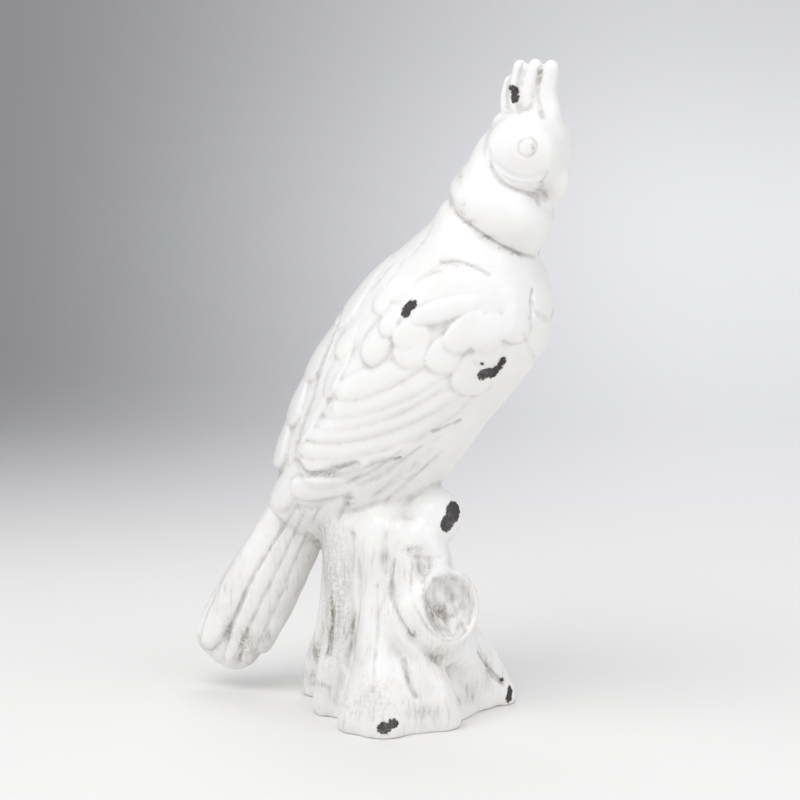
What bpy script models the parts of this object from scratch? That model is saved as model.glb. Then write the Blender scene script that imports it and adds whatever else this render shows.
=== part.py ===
# Ceramic cockatoo perched on a tree stump, slip-cast in one hollow piece.
# Metres, +Z up. The bird faces +X and its right wing is on the -Y side.

import math

import bmesh
import bpy
import numpy as np
from mathutils import Matrix, Vector
from mathutils.bvhtree import BVHTree

# Casting
WALL = 0.0055
POUR_HOLE_RADIUS = 0.009
TRIANGLE_BUDGET = 11000
CAVITY_TRIANGLES = 700
CORE_VOXEL = 0.0018
SURFACE_VOXEL = 0.0011
CAVITY_VOXEL = 0.0035

# Body. Points on the bird are given along its leaning axis, across it towards the belly, and sideways.
PERCH_HEIGHT = 0.105
CHEST_ABOVE_PERCH = 0.093
CHEST_FORWARD = 0.0185
BODY_LEAN = math.radians(57.5)
BODY_HALF_WIDTH = 0.042
BODY_HALF_DEPTH = 0.0445
# Rows of: along, across, share of the half width, share of the half depth.
BODY_SECTIONS = (
    (-0.128, -0.011, 0.36, 0.40),
    (-0.118, -0.0085, 0.48, 0.49),
    (-0.100, -0.0045, 0.69, 0.69),
    (-0.075, -0.0010, 0.88, 0.930),
    (-0.047, -0.0014, 0.97, 1.020),
    (-0.025, -0.0008, 0.99, 1.035),
    (-0.002, 0.0010, 1.00, 1.060),
    (0.015, 0.0028, 0.98, 1.050),
    (0.032, 0.0052, 0.93, 0.985),
    (0.050, 0.0028, 0.82, 0.830),
    (0.061, -0.0042, 0.68, 0.670),
    (0.067, -0.0055, 0.58, 0.565),
    (0.072, -0.007, 0.54, 0.52),
    (0.086, -0.009, 0.42, 0.42),
)

# Tail
TAIL_ROOT = -0.112
TAIL_LENGTH = 0.110
TAIL_HALF_DEPTH = 0.0192
TAIL_HALF_THICKNESS = 0.0095
# Rows of: share of the tail's length, across, share of the half thickness, share of the half depth.
TAIL_SECTIONS = (
    (-0.14, -0.0120, 1.55, 0.68),
    (0.00, -0.0118, 1.35, 0.77),
    (0.14, -0.0110, 1.15, 0.87),
    (0.34, -0.0098, 1.00, 0.97),
    (0.66, -0.0080, 0.90, 1.07),
    (0.86, -0.0078, 0.74, 1.03),
    (0.95, -0.0078, 0.58, 0.87),
    (1.00, -0.0078, 0.34, 0.56),
)

# Neck ruff, a hood of feathers that overhangs the shoulders.
RUFF_HALF_WIDTH = 0.0285
# Rows of: along, across, share of the half width sideways, share of it front to back.
RUFF_SECTIONS = (
    (0.0680, -0.0070, 0.84, 0.86),
    (0.0690, -0.0073, 0.95, 0.95),
    (0.0735, -0.0078, 1.00, 0.99),
    (0.0800, -0.0074, 0.99, 0.98),
    (0.0870, -0.0088, 0.90, 0.91),
    (0.0930, -0.0128, 0.76, 0.79),
    (0.1000, -0.0195, 0.58, 0.56),
    (0.1070, -0.0235, 0.36, 0.36),
)

# Head. Points on it are given forward of, and above, the middle of the skull.
HEAD_ALONG = 0.1092
HEAD_ACROSS = -0.0127
SKULL_RADIUS = 0.0205
SKULL_HALF_WIDTH = 0.0212
EYE_RADIUS = 0.0041
EYE_PLACE = (0.0085, 0.0043)
EYE_OUT = 0.0222
BEAK_RADIUS = 0.0077
CREST_ROOT = 0.0170
CREST_LENGTH = 0.0250

# Stump
FOOT_SPREAD = 0.050
STUMP_HALF_WIDTH = 0.033
KNOT_RADIUS = 0.0172
KNOT_REACH = 0.0432
KNOT_AZIMUTH = math.radians(61.0)
KNOT_TILT = math.radians(14.0)
LIP_RADIUS = 0.0021
STUB_RADIUS = 0.0155
STUB_AZIMUTH = math.radians(72.0)

# Feathers
FEATHER_LIFT = 0.0026
TAIL_LIFT = 0.0034
FEATHER_SINK = 0.0020
BLUNTNESS = 2.7
ROOT_LIFT = 0.15
ROOT_WIDTH = 0.70

# Glaze
GLAZE_COLOUR = (0.84, 0.83, 0.81, 1.0)
GLAZE_ROUGHNESS = 0.28

# Modelling
RING_SEGMENTS = 32
BALL_SEGMENTS = (32, 20)
FEATHER_SEGMENTS = (28, 14)
PATH_STEPS = 5
THINNEST = 0.004
FAR = 0.25

AXIS_ALONG = Vector((math.cos(BODY_LEAN), 0.0, math.sin(BODY_LEAN)))
AXIS_ACROSS = Vector((math.sin(BODY_LEAN), 0.0, -math.cos(BODY_LEAN)))
AXIS_SIDE = Vector((0.0, 1.0, 0.0))
CHEST = Vector((CHEST_FORWARD, 0.0, PERCH_HEIGHT + CHEST_ABOVE_PERCH))


def body_point(along, across, sideways=0.0):
    return CHEST + AXIS_ALONG * along + AXIS_ACROSS * across + AXIS_SIDE * sideways


def head_point(forward, up, sideways=0.0):
    return body_point(HEAD_ALONG, HEAD_ACROSS) + Vector((forward, sideways, up))


def stump_point(x, y, share):
    # share runs from 0 at the floor to 1 at the perch.
    return Vector((x, y, PERCH_HEIGHT * share))


def towards(azimuth):
    return Vector((math.sin(azimuth), -math.cos(azimuth), 0.0))


def smooth_rows(rows, steps=PATH_STEPS):
    # Catmull-Rom curve through rows of numbers.
    rows = np.array(rows, dtype=float)
    padded = np.vstack([2 * rows[0] - rows[1], rows, 2 * rows[-1] - rows[-2]])
    curve = []
    for a, b, c, d in zip(padded, padded[1:], padded[2:], padded[3:]):
        for t in np.linspace(0.0, 1.0, steps, endpoint=False):
            straight = 2 * b + (c - a) * t
            bend = (2 * a - 5 * b + 4 * c - d) * t ** 2 + (3 * b - a - 3 * c + d) * t ** 3
            curve.append((straight + bend) / 2)
    curve.append(rows[-1])
    return np.array(curve)


def section(centre, width, depth):
    # Places a unit circle as an ellipse whose half axes are two vectors.
    placed = Matrix((width, depth, width.cross(depth).normalized())).transposed().to_4x4()
    placed.translation = centre
    return placed


def press_on(clay, piece):
    # Adds a finished piece to the clay as one more overlapping shell.
    bmesh.ops.recalc_face_normals(piece, faces=piece.faces)
    mesh = bpy.data.meshes.new("piece")
    piece.to_mesh(mesh)
    piece.free()
    clay.from_mesh(mesh)
    bpy.data.meshes.remove(mesh)


def add_loft(clay, sections):
    piece = bmesh.new()
    loops = []
    for placed in sections:
        ring = bmesh.ops.create_circle(piece, segments=RING_SEGMENTS, radius=1.0, matrix=placed)
        loops.append(list(dict.fromkeys(edge for vert in ring["verts"] for edge in vert.link_edges)))
    for lower, upper in zip(loops, loops[1:]):
        bmesh.ops.bridge_loops(piece, edges=lower + upper)
    for end in (loops[0], loops[-1]):
        bmesh.ops.edgeloop_fill(piece, edges=end)
    press_on(clay, piece)


def add_limb(bm, points, flatness=1.0):
    # A round limb through (point, radius) pairs with domed ends. Flatness scales it sideways.
    rows = smooth_rows([(*point, radius) for point, radius in points])
    first, last = rows[0], rows[-1]
    start = Vector(first[:3] - rows[1][:3]).normalized()
    finish = Vector(last[:3] - rows[-2][:3]).normalized()
    domes = [math.radians(a) for a in (75, 55, 30)]
    stations = [(Vector(first[:3]) + start * first[3] * math.sin(a), first[3] * math.cos(a)) for a in domes]
    stations += [(Vector(row[:3]), row[3]) for row in rows]
    stations += [(Vector(last[:3]) + finish * last[3] * math.sin(a), last[3] * math.cos(a))
                 for a in reversed(domes)]
    sections = []
    for i, (centre, radius) in enumerate(stations):
        ahead = stations[min(i + 1, len(stations) - 1)][0]
        behind = stations[max(i - 1, 0)][0]
        direction = (ahead - behind).normalized()
        width = direction.cross(AXIS_SIDE).normalized() * radius
        if width.length == 0.0:
            width = Vector((radius, 0.0, 0.0))
        depth = direction.cross(width).normalized() * radius * flatness
        sections.append(section(centre, width, depth))
    add_loft(bm, sections)


def add_ball(bm, centre, radii, turn=None):
    placed = Matrix.Translation(centre) @ (turn or Matrix()) @ Matrix.Diagonal((*radii, 1.0))
    piece = bmesh.new()
    around, upward = BALL_SEGMENTS
    bmesh.ops.create_uvsphere(piece, u_segments=around, v_segments=upward, radius=1.0, matrix=placed)
    press_on(bm, piece)


def side_chart(side):
    # Looks at the bird from one side: chart points are (along, across).
    def look(a, b):
        return body_point(a, b, side * FAR), AXIS_SIDE * -side
    return look


def head_chart(side):
    # Looks at the head from one side: chart points are (forward, up) from the middle of the skull.
    def look(a, b):
        return head_point(a, b, side * FAR), AXIS_SIDE * -side
    return look


def back_chart(a, b):
    # Looks at the bird's back: chart points are (along, sideways).
    return body_point(a, -FAR, b), AXIS_ACROSS


def land(skin, chart, a, b):
    # where a chart point meets the skin, with the normal there
    origin, direction = chart(a, b)
    hit, normal, _, _ = skin.ray_cast(origin, direction)
    if hit is None:
        hit, normal, _, _ = skin.find_nearest(origin + direction * FAR)
    return hit, normal


def add_feather(bm, skin, chart, root, middle, tip, half_width, lift=FEATHER_LIFT, tilt=0.0):
    # A lens laid over the skin. Its root sinks in, its tip stands proud, and a tilt raises one edge.
    root, middle, tip = Vector(root), Vector(middle), Vector(tip)
    control = middle * 2 - (root + tip) / 2
    lens = bmesh.new()
    around, upward = FEATHER_SEGMENTS
    bmesh.ops.create_uvsphere(lens, u_segments=around, v_segments=upward, radius=1.0)
    for vert in lens.verts:
        lengthwise, crosswise, height = vert.co
        # squares the outline off a little, so that the tip is blunt
        girth = math.hypot(lengthwise, crosswise)
        squared = (abs(lengthwise) ** BLUNTNESS + abs(crosswise) ** BLUNTNESS) ** (1 / BLUNTNESS)
        if squared > 0.0:
            lengthwise, crosswise = lengthwise * girth / squared, crosswise * girth / squared
        t = (lengthwise + 1) / 2
        spine = root * (1 - t) ** 2 + control * 2 * t * (1 - t) + tip * t ** 2
        run = ((control - root) * (1 - t) + (tip - control) * t).normalized()
        reach = crosswise * half_width * (ROOT_WIDTH + (1 - ROOT_WIDTH) * min(1.0, 1.6 * t))
        place = spine + Vector((-run.y, run.x)) * reach
        hit, normal = land(skin, chart, *place)
        if height > 0:
            rise = (lift * (ROOT_LIFT + (1 - ROOT_LIFT) * t) + tilt * crosswise) * height ** 0.5
        else:
            rise = FEATHER_SINK * height
        vert.co = hit + normal * rise
    press_on(bm, lens)


def object_from(bm, name):
    bmesh.ops.recalc_face_normals(bm, faces=bm.faces)
    mesh = bpy.data.meshes.new(name)
    bm.to_mesh(mesh)
    bm.free()
    obj = bpy.data.objects.new(name, mesh)
    bpy.context.scene.collection.objects.link(obj)
    return obj


def bake(obj):
    # Replaces the object's mesh with what its modifiers make of it.
    graph = bpy.context.evaluated_depsgraph_get()
    baked = bpy.data.meshes.new_from_object(obj.evaluated_get(graph))
    obj.modifiers.clear()
    spare = obj.data
    obj.data = baked
    bpy.data.meshes.remove(spare)


def fuse(obj, voxel, rounds, factor=0.5):
    # Melts overlapping shells into one smooth skin.
    remesh = obj.modifiers.new("Fuse", "REMESH")
    remesh.mode = "VOXEL"
    remesh.voxel_size = voxel
    smooth = obj.modifiers.new("Soften", "SMOOTH")
    smooth.factor = factor
    smooth.iterations = rounds
    bake(obj)


def soften_stump(obj, rounds=9):
    # The bark flows from column to column, so the stump is smoothed more than the bird.
    bark = obj.vertex_groups.new(name="bark")
    for vert in obj.data.vertices:
        bark.add([vert.index], max(0.0, min(1.0, (PERCH_HEIGHT * 0.95 - vert.co.z) / 0.015)), "REPLACE")
    smooth = obj.modifiers.new("Soften", "SMOOTH")
    smooth.vertex_group = "bark"
    smooth.iterations = rounds
    bake(obj)
    obj.vertex_groups.clear()


def thin_out(obj, triangles):
    count = sum(len(face.vertices) - 2 for face in obj.data.polygons)
    decimate = obj.modifiers.new("Thin out", "DECIMATE")
    decimate.ratio = min(1.0, triangles / count)
    decimate.use_collapse_triangulate = True
    bake(obj)


def body_loft(bm, shrink=0.0):
    rows = smooth_rows(BODY_SECTIONS)
    sections = []
    for along, across, width, depth in rows:
        half_width = BODY_HALF_WIDTH * width - shrink
        half_depth = BODY_HALF_DEPTH * depth - shrink
        if min(half_width, half_depth) > THINNEST:
            centre = body_point(along, across)
            sections.append(section(centre, AXIS_SIDE * half_width, AXIS_ACROSS * half_depth))
    add_loft(bm, sections)


def ruff_loft(bm, shrink=0.0):
    sections = []
    for along, across, width, depth in smooth_rows(RUFF_SECTIONS):
        half_width = RUFF_HALF_WIDTH * width - shrink
        half_depth = RUFF_HALF_WIDTH * depth - shrink
        if min(half_width, half_depth) > THINNEST:
            centre = body_point(along, across)
            sections.append(section(centre, AXIS_SIDE * half_width, AXIS_ACROSS * half_depth))
    add_loft(bm, sections)


def tail_loft(bm):
    sections = []
    for share, across, thickness, depth in smooth_rows(TAIL_SECTIONS):
        centre = body_point(TAIL_ROOT - TAIL_LENGTH * share, across)
        width = AXIS_SIDE * TAIL_HALF_THICKNESS * thickness
        sections.append(section(centre, width, AXIS_ACROSS * TAIL_HALF_DEPTH * depth))
    add_loft(bm, sections)


def add_thighs(bm):
    # fullness at each side of the vent, where the bird sits on the stump
    for side in (-1, 1):
        add_limb(bm, [(body_point(-0.045, 0.016, side * 0.022), 0.0160),
                      (body_point(-0.080, 0.011, side * 0.020), 0.0145),
                      (body_point(-0.104, 0.004, side * 0.014), 0.0115)])


def stump_loft(bm, shrink=0.0, floor=-0.01):
    # Rows of: share of the height, x of the middle, share of the half width.
    rows = (
        (-0.03, 0.0000, 1.18),
        (0.08, -0.0010, 1.16),
        (0.24, -0.0040, 1.07),
        (0.48, -0.0085, 0.96),
        (0.72, -0.0120, 0.91),
        (0.92, -0.0120, 0.92),
        (1.02, -0.0110, 0.88),
        (1.12, -0.0080, 0.66),
    )
    sections = []
    for share, x, size in smooth_rows(rows):
        half = STUMP_HALF_WIDTH * size - shrink
        centre = stump_point(x, 0.0, share)
        if centre.z > floor:
            sections.append(section(centre, Vector((half, 0.0, 0.0)), Vector((0.0, half * 1.03, 0.0))))
    add_loft(bm, sections)


def add_roots(bm):
    # Columns of the stump that run down into root toes. Each is a row of x, y, share of the height, radius.
    spread = FOOT_SPREAD
    columns = (
        # front column with its broad toe
        ((-0.0038, -0.0225, 0.96, 0.0105), (-0.0036, -0.0245, 0.86, 0.0102), (-0.001, -0.0275, 0.68, 0.0102),
         (0.000, -0.0325, 0.40, 0.0118), (0.004, -0.80 * spread, 0.18, 0.0148),
         (0.008, -0.94 * spread, 0.04, 0.0138)),
        ((0.000, -0.0325, 0.34, 0.0110), (-0.004, -0.86 * spread, 0.05, 0.0148)),
        # second toe, running out from under the knot
        ((0.012, -0.028, 0.42, 0.0100), (0.0225, -0.0285, 0.22, 0.0125),
         (0.60 * spread, -0.51 * spread, 0.05, 0.0118)),
        # web between the two
        ((0.26 * spread, -0.74 * spread, 0.22, 0.0115), (0.40 * spread, -0.66 * spread, 0.05, 0.0125)),
        # left columns
        ((-0.0365, 0.000, 0.92, 0.0080), (-0.0378, -0.001, 0.55, 0.0085), (-0.0404, 0.001, 0.34, 0.0096),
         (-0.0484, 0.008, 0.16, 0.0102), (-1.03 * spread, 0.21 * spread, 0.02, 0.0098)),
        ((-0.0235, -0.019, 0.93, 0.0078), (-0.0245, -0.0215, 0.55, 0.0082), (-0.027, -0.024, 0.28, 0.0098),
         (-0.64 * spread, -0.44 * spread, 0.04, 0.0100)),
        # right columns
        ((0.007, 0.014, 0.95, 0.0080), (0.015, 0.016, 0.56, 0.0095), (0.0236, 0.018, 0.37, 0.0098),
         (0.0322, 0.023, 0.23, 0.0100), (0.82 * spread, 0.60 * spread, 0.03, 0.0098)),
        ((0.018, -0.006, 0.58, 0.0125), (0.028, 0.002, 0.30, 0.0125),
         (0.68 * spread, 0.34 * spread, 0.03, 0.0100)),
        ((0.000, 0.024, 0.85, 0.0085), (0.007, 0.028, 0.40, 0.0105),
         (0.34 * spread, 0.82 * spread, 0.06, 0.0115)),
        # back columns
        ((-0.014, 0.024, 1.00, 0.0085), (-0.014, 0.027, 0.45, 0.0110), (-0.012, 0.86 * spread, 0.06, 0.0115)),
        ((-0.029, 0.016, 1.00, 0.0080), (-0.031, 0.020, 0.45, 0.0095),
         (-0.76 * spread, 0.58 * spread, 0.06, 0.0100)),
    )
    for column in columns:
        add_limb(bm, [(stump_point(x, y, share), radius) for x, y, share, radius in column])


def knot_frame():
    # middle of the hole's mouth, the way it faces, its left and its up
    level = towards(KNOT_AZIMUTH)
    centre = Vector((-0.004, -0.001, PERCH_HEIGHT * 0.595)) + level * KNOT_REACH
    left = level.cross(Vector((0.0, 0.0, 1.0)))
    out = Matrix.Rotation(KNOT_TILT, 3, left) @ level
    return centre, out, left, left.cross(out)


def add_knot(bm):
    # A healed branch hole: a lip of bark, thick at its left and below, and a fold coming down from the stub.
    centre, out, left, up = knot_frame()
    heavy_side = left * 0.8 - up * 0.6
    # Rows of: forward of the mouth, share of the hole's radius, shift to the heavy side.
    rows = (
        (-0.0340, 1.50, 0.0080),
        (-0.0180, 1.44, 0.0072),
        (-0.0080, 1.34, 0.0062),
        (-0.0025, 1.22, 0.0034),
        (0.0008, 1.10, 0.0010),
        (0.0016, 1.00, 0.0002),
    )
    sections = []
    for depth, share, shift in smooth_rows(rows):
        radius = KNOT_RADIUS * share
        sections.append(section(centre + out * depth + heavy_side * shift, left * radius, up * radius))
    add_loft(bm, sections)
    # Rows of: left of the hole's middle, above it, back from its mouth, radius.
    fold = (
        (0.0165, 0.0390, 0.0200, 0.0056),
        (0.0180, 0.0190, 0.0150, 0.0068),
        (0.0190, 0.0010, 0.0120, 0.0070),
        (0.0162, -0.0138, 0.0095, 0.0072),
        (0.0072, -0.0238, 0.0075, 0.0070),
        (-0.0060, -0.0270, 0.0070, 0.0060),
        (-0.0165, -0.0215, 0.0090, 0.0046),
    )
    # bark that fills the space between the hole and the stub
    bark = (
        (0.0060, 0.0340, 0.0180, 0.0110),
        (0.0010, 0.0250, 0.0150, 0.0100),
        (0.0000, 0.0120, 0.0150, 0.0110),
    )
    level = towards(KNOT_AZIMUTH)
    upright = Vector((0.0, 0.0, 1.0))
    for rows in (fold, bark):
        add_limb(bm, [(centre + left * side + upright * height - level * back, radius)
                      for side, height, back, radius in rows])


def add_knot_lip(bm):
    # the rounded rim of the hole
    centre, out, left, up = knot_frame()
    lip = bmesh.new()
    start = centre - out * LIP_RADIUS * 0.5 + left * (KNOT_RADIUS + LIP_RADIUS * 0.3)
    placed = section(start, left * LIP_RADIUS, out * LIP_RADIUS)
    bmesh.ops.create_circle(lip, segments=12, radius=1.0, matrix=placed)
    bmesh.ops.spin(lip, geom=lip.verts[:] + lip.edges[:], cent=centre, axis=out, angle=math.tau,
                   steps=40, use_merge=True)
    press_on(bm, lip)


def add_stub(bm):
    # The sawn-off branch that the bird's belly rests against.
    out = towards(STUB_AZIMUTH)
    middle = Vector((-0.008, 0.002, PERCH_HEIGHT))
    across = out.cross(Vector((0.0, 0.0, 1.0)))
    up = Vector((0.0, 0.0, 1.0))
    # Rows of: reach, share of the radius.
    rows = (
        (0.0000, 0.95),
        (0.0140, 1.03),
        (0.0240, 1.02),
        (0.0320, 0.95),
        (0.0370, 0.82),
        (0.0402, 0.60),
        (0.0415, 0.36),
    )
    sections = []
    for reach, share in smooth_rows(rows):
        radius = STUB_RADIUS * share
        sections.append(section(middle + out * reach, across * radius, up * radius))
    add_loft(bm, sections)


def add_head(bm):
    # full-cheeked skull, a drum with rounded ends
    rows = ((-1.00, 0.42), (-0.94, 0.66), (-0.78, 0.87), (-0.45, 0.975), (0.00, 1.00))
    rows = rows + tuple((-y, share) for y, share in rows[-2::-1])
    sections = []
    for y, share in smooth_rows(rows):
        radius = SKULL_RADIUS * share
        centre = head_point(0.0015, -0.0005, SKULL_HALF_WIDTH * y)
        sections.append(section(centre, Vector((radius, 0.0, 0.0)), Vector((0.0, 0.0, radius))))
    add_loft(bm, sections)
    # forehead lobe that overhangs the beak
    add_limb(bm, [(head_point(0.0088, 0.022), 0.0056), (head_point(0.0113, 0.012), 0.0074),
                  (head_point(0.0134, 0.005), 0.0080), (head_point(0.0134, -0.0018), 0.0066)], 1.35)
    # upper beak with its hooked end, and the lower beak behind it
    add_limb(bm, [(head_point(0.0110, -0.004), 0.0072), (head_point(0.0146, -0.013), BEAK_RADIUS),
                  (head_point(0.0148, -0.019), BEAK_RADIUS * 0.88),
                  (head_point(0.0128, -0.0245), 0.0046)], 0.95)
    add_limb(bm, [(head_point(0.0050, -0.015), 0.0060), (head_point(0.0085, -0.0215), 0.0045)], 0.95)
    # nape, where the crest starts
    add_ball(bm, head_point(-0.0108, 0.0106), (0.0078, 0.0100, 0.0080))
    for side in (-1, 1):
        # cheek pad that carries the eye
        add_ball(bm, head_point(0.0035, 0.0010, side * 0.0150), (0.0145, 0.0088, 0.0130))


def add_wing_pads(bm, skin):
    for side in (-1, 1):
        chart = side_chart(side)
        add_feather(bm, skin, chart, (0.060, 0.012), (0.012, 0.011), (-0.060, -0.007), 0.0295, lift=0.0040)
        add_feather(bm, skin, chart, (-0.010, 0.020), (-0.050, 0.0065), (-0.0915, -0.0190), 0.0165, lift=0.0040)


# Flight feathers of one wing, top to bottom, as chart points: root, middle, tip, and the half width.
FLIGHT_FEATHERS = (
    ((0.008, 0.012), (-0.0205, -0.0040), (-0.0430, -0.0198), 0.0066),
    ((0.006, 0.022), (-0.0245, 0.0045), (-0.0570, -0.0208), 0.0060),
    ((-0.001, 0.0245), (-0.0360, 0.0042), (-0.0650, -0.0208), 0.0048),
    ((-0.003, 0.0315), (-0.0395, 0.0090), (-0.0735, -0.0225), 0.0052),
    ((-0.012, 0.0355), (-0.0520, 0.0098), (-0.0835, -0.0228), 0.0054),
    ((-0.022, 0.0365), (-0.0605, 0.0110), (-0.0885, -0.0185), 0.0056),
    ((-0.018, -0.0275), (-0.0345, -0.0262), (-0.0490, -0.0230), 0.0048),
    ((-0.045, -0.0250), (-0.0625, -0.0235), (-0.0785, -0.0226), 0.0036),
)

# Wing coverts, lowest row first, as: root along, root across, tip along, tip across, half width,
# and lift as a share of the feathers' lift.
COVERTS = (
    (0.0070, -0.0160, -0.0185, -0.0140, 0.0076, 1.0),
    (0.0160, 0.0008, -0.0074, 0.0033, 0.0082, 1.0),
    (0.0220, 0.0167, -0.0005, 0.0178, 0.0079, 1.0),
    (0.0210, 0.0303, -0.0047, 0.0347, 0.0080, 0.9),
    (-0.0110, -0.0316, -0.0300, -0.0309, 0.0045, 0.9),
    (0.0160, -0.0270, 0.0030, -0.0250, 0.0050, 0.6),
    (0.0140, -0.0190, -0.0010, -0.0130, 0.0053, 1.2),
    (0.0210, 0.0000, -0.0010, -0.0050, 0.0070, 1.2),
    (0.0430, 0.0165, 0.0148, -0.0066, 0.0054, 1.1),
    (0.0380, 0.0200, 0.0131, 0.0183, 0.0071, 1.3),
    (0.0300, 0.0340, 0.0137, 0.0329, 0.0054, 0.9),
    (0.0410, 0.0275, 0.0198, 0.0290, 0.0075, 1.3),
    (0.0480, 0.0300, 0.0310, 0.0406, 0.0053, 1.1),
)

# Feathers down the middle of the back, as: start along, end along, half width, lift.
BACK_FEATHERS = (
    (-0.0690, -0.1085, 0.0215, 0.0066),
    (-0.0460, -0.0845, 0.0262, 0.0048),
    (-0.0120, -0.0590, 0.0285, 0.0036),
    (0.0240, -0.0280, 0.0260, 0.0028),
)

# Tail feathers of one side, top to bottom, as: across at the root, halfway and at the tip,
# share of the tail's length, half width.
TAIL_FEATHERS = (
    (-0.0180, -0.0187, -0.0135, 0.990, 0.0076),
    (-0.0078, -0.0060, 0.0015, 1.010, 0.0050),
    (-0.0014, 0.0015, 0.0090, 0.960, 0.0046),
    (0.0044, 0.0064, 0.0128, 0.860, 0.0040),
)


def add_wing(bm, skin, side):
    chart = side_chart(side)
    for root, middle, tip, half_width in FLIGHT_FEATHERS:
        add_feather(bm, skin, chart, root, middle, tip, half_width, tilt=FEATHER_LIFT * -0.30)
    for root_along, root_across, along, across, half_width, lift in COVERTS:
        root, tip = Vector((root_along, root_across)), Vector((along, across))
        add_feather(bm, skin, chart, root, (root + tip) / 2, tip, half_width, FEATHER_LIFT * lift)


def add_back(bm, skin):
    for start, end, half_width, lift in BACK_FEATHERS:
        middle = (start + end) / 2
        add_feather(bm, skin, back_chart, (start, 0.0), (middle, 0.0), (end, 0.0), half_width, lift)


def add_tail_feathers(bm, skin, tail_skin, side):
    chart = side_chart(side)
    for root, middle, tip, share, half_width in TAIL_FEATHERS:
        start = TAIL_ROOT + 0.012
        end = TAIL_ROOT - TAIL_LENGTH * share
        path = (start, root), ((start + end) / 2, middle), (end, tip)
        add_feather(bm, tail_skin, chart, *path, half_width, TAIL_LIFT)
    # covert over the tail's root, and the roll of down under the wing tip
    add_feather(bm, skin, chart, (-0.094, -0.0185), (-0.109, -0.0193), (-0.1245, -0.0212), 0.0074, 0.0030)
    add_feather(bm, skin, chart, (-0.078, 0.0125), (-0.0935, -0.0032), (-0.1045, -0.0160), 0.0066, 0.0060)


def add_crest(bm):
    # Raised crest feathers, back to front, as: root forward, tip forward, bow, share of the length,
    # root radius, tip radius.
    fingers = (
        (-0.0095, -0.0090, -0.0012, 0.64, 0.0045, 0.0034),
        (-0.0050, -0.0038, -0.0014, 0.95, 0.0048, 0.0038),
        (0.0022, 0.0042, -0.0016, 0.98, 0.0050, 0.0039),
        (0.0112, 0.0128, -0.0024, 0.97, 0.0068, 0.0036),
    )
    for root, tip, bow, share, root_radius, tip_radius in fingers:
        top = CREST_ROOT + CREST_LENGTH * share
        middle = (root + tip) / 2 + bow
        slender = (root_radius + tip_radius) / 2
        buried = head_point(root * 0.8, CREST_ROOT - 0.006)
        halfway = head_point(middle, (CREST_ROOT + top) / 2)
        add_limb(bm, [(buried, root_radius), (head_point(root, CREST_ROOT), root_radius),
                      (halfway, slender), (head_point(tip, top), tip_radius)])


def add_eyes(bm):
    for side in (-1, 1):
        add_ball(bm, head_point(*EYE_PLACE, side * EYE_OUT), (EYE_RADIUS, EYE_RADIUS * 0.27, EYE_RADIUS))


# Lines pressed into each side of the head, as: points forward of and above the middle of the skull, then
# half width and depth. They are the cheek, the jaw, and the fold where the head sits on the ruff.
HEAD_LINES = (
    (((-0.0131, 0.0001), (-0.0119, -0.0037), (-0.0074, -0.0062), (-0.0022, -0.0095),
      (0.0045, -0.0120), (0.0104, -0.0115), (0.0157, -0.0089)), 0.0022, 0.0012),
    (((-0.0076, -0.0114), (-0.0016, -0.0152), (0.0053, -0.0177), (0.0092, -0.0190)), 0.0016, 0.0006),
    (((-0.0123, -0.0078), (-0.0076, -0.0123), (-0.0029, -0.0162), (0.0024, -0.0188),
      (0.0064, -0.0208), (0.0093, -0.0260)), 0.0022, 0.0014),
)

# Lines pressed into each side of the body, as: chart points, half width, depth.
SIDE_LINES = (
    # shoulder crease, the front edge of the wing and the step on the chest
    (((0.0450, -0.0119), (0.0516, -0.0031), (0.0541, 0.0074), (0.0545, 0.0127)), 0.0024, 0.0014),
    (((0.0550, 0.0315), (0.0468, 0.0377), (0.0442, 0.0391)), 0.0020, 0.0010),
    # down below the wing
    (((-0.0618, 0.0152), (-0.0562, 0.0198), (-0.0522, 0.0245)), 0.0014, 0.0008),
    (((-0.0313, 0.0310), (-0.0266, 0.0351), (-0.0205, 0.0382)), 0.0014, 0.0008),
)

# Furrows of the stump, as: rows of the angle round it in degrees and the share of its height, then
# half width and depth.
STUMP_LINES = (
    # crease between the front column and the fold round the knot
    (((9, 0.93), (12, 0.76), (15, 0.64), (19, 0.545), (26, 0.46), (36, 0.39), (48, 0.335)), 0.0034, 0.0020),
    # cracks left of the front column
    (((-28, 0.93), (-30, 0.70), (-27, 0.50), (-23, 0.41), (-29, 0.30), (-16, 0.19)), 0.0028, 0.0016),
    (((-49, 0.62), (-43, 0.53), (-41, 0.42), (-40, 0.32)), 0.0022, 0.0016),
    # front column, the gap between the toes, under the stub and over the right toe
    (((0.5, 0.70), (3, 0.54), (3.5, 0.40), (4.5, 0.22)), 0.0022, 0.0006),
    (((22, 0.345), (25, 0.26), (29, 0.185)), 0.0026, 0.0014),
    (((24, 0.860), (38, 0.835), (54, 0.83)), 0.0022, 0.0008),
    (((110, 0.32), (109, 0.24), (113, 0.165), (116, 0.12)), 0.0020, 0.0012),
    # far side
    (((150, 0.90), (152, 0.60), (147, 0.30)), 0.0028, 0.0014),
    (((185, 0.85), (181, 0.55), (186, 0.25)), 0.0026, 0.0014),
    (((222, 0.90), (226, 0.55), (219, 0.22)), 0.0028, 0.0014),
    (((262, 0.80), (258, 0.50), (262, 0.20)), 0.0022, 0.0010),
)


def stump_chart(angle, share):
    # Looks at the stump from outside: chart points are an angle in degrees and a share of its height.
    out = towards(math.radians(angle))
    return out * FAR + stump_point(0.0, 0.0, share), -out


def eye_ring():
    # chart points of the groove round the eye
    middle = Vector(EYE_PLACE)
    turns = [math.radians(angle) for angle in range(0, 361, 24)]
    return [middle + Vector((math.cos(turn), math.sin(turn))) * EYE_RADIUS * 1.12 for turn in turns]


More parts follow.
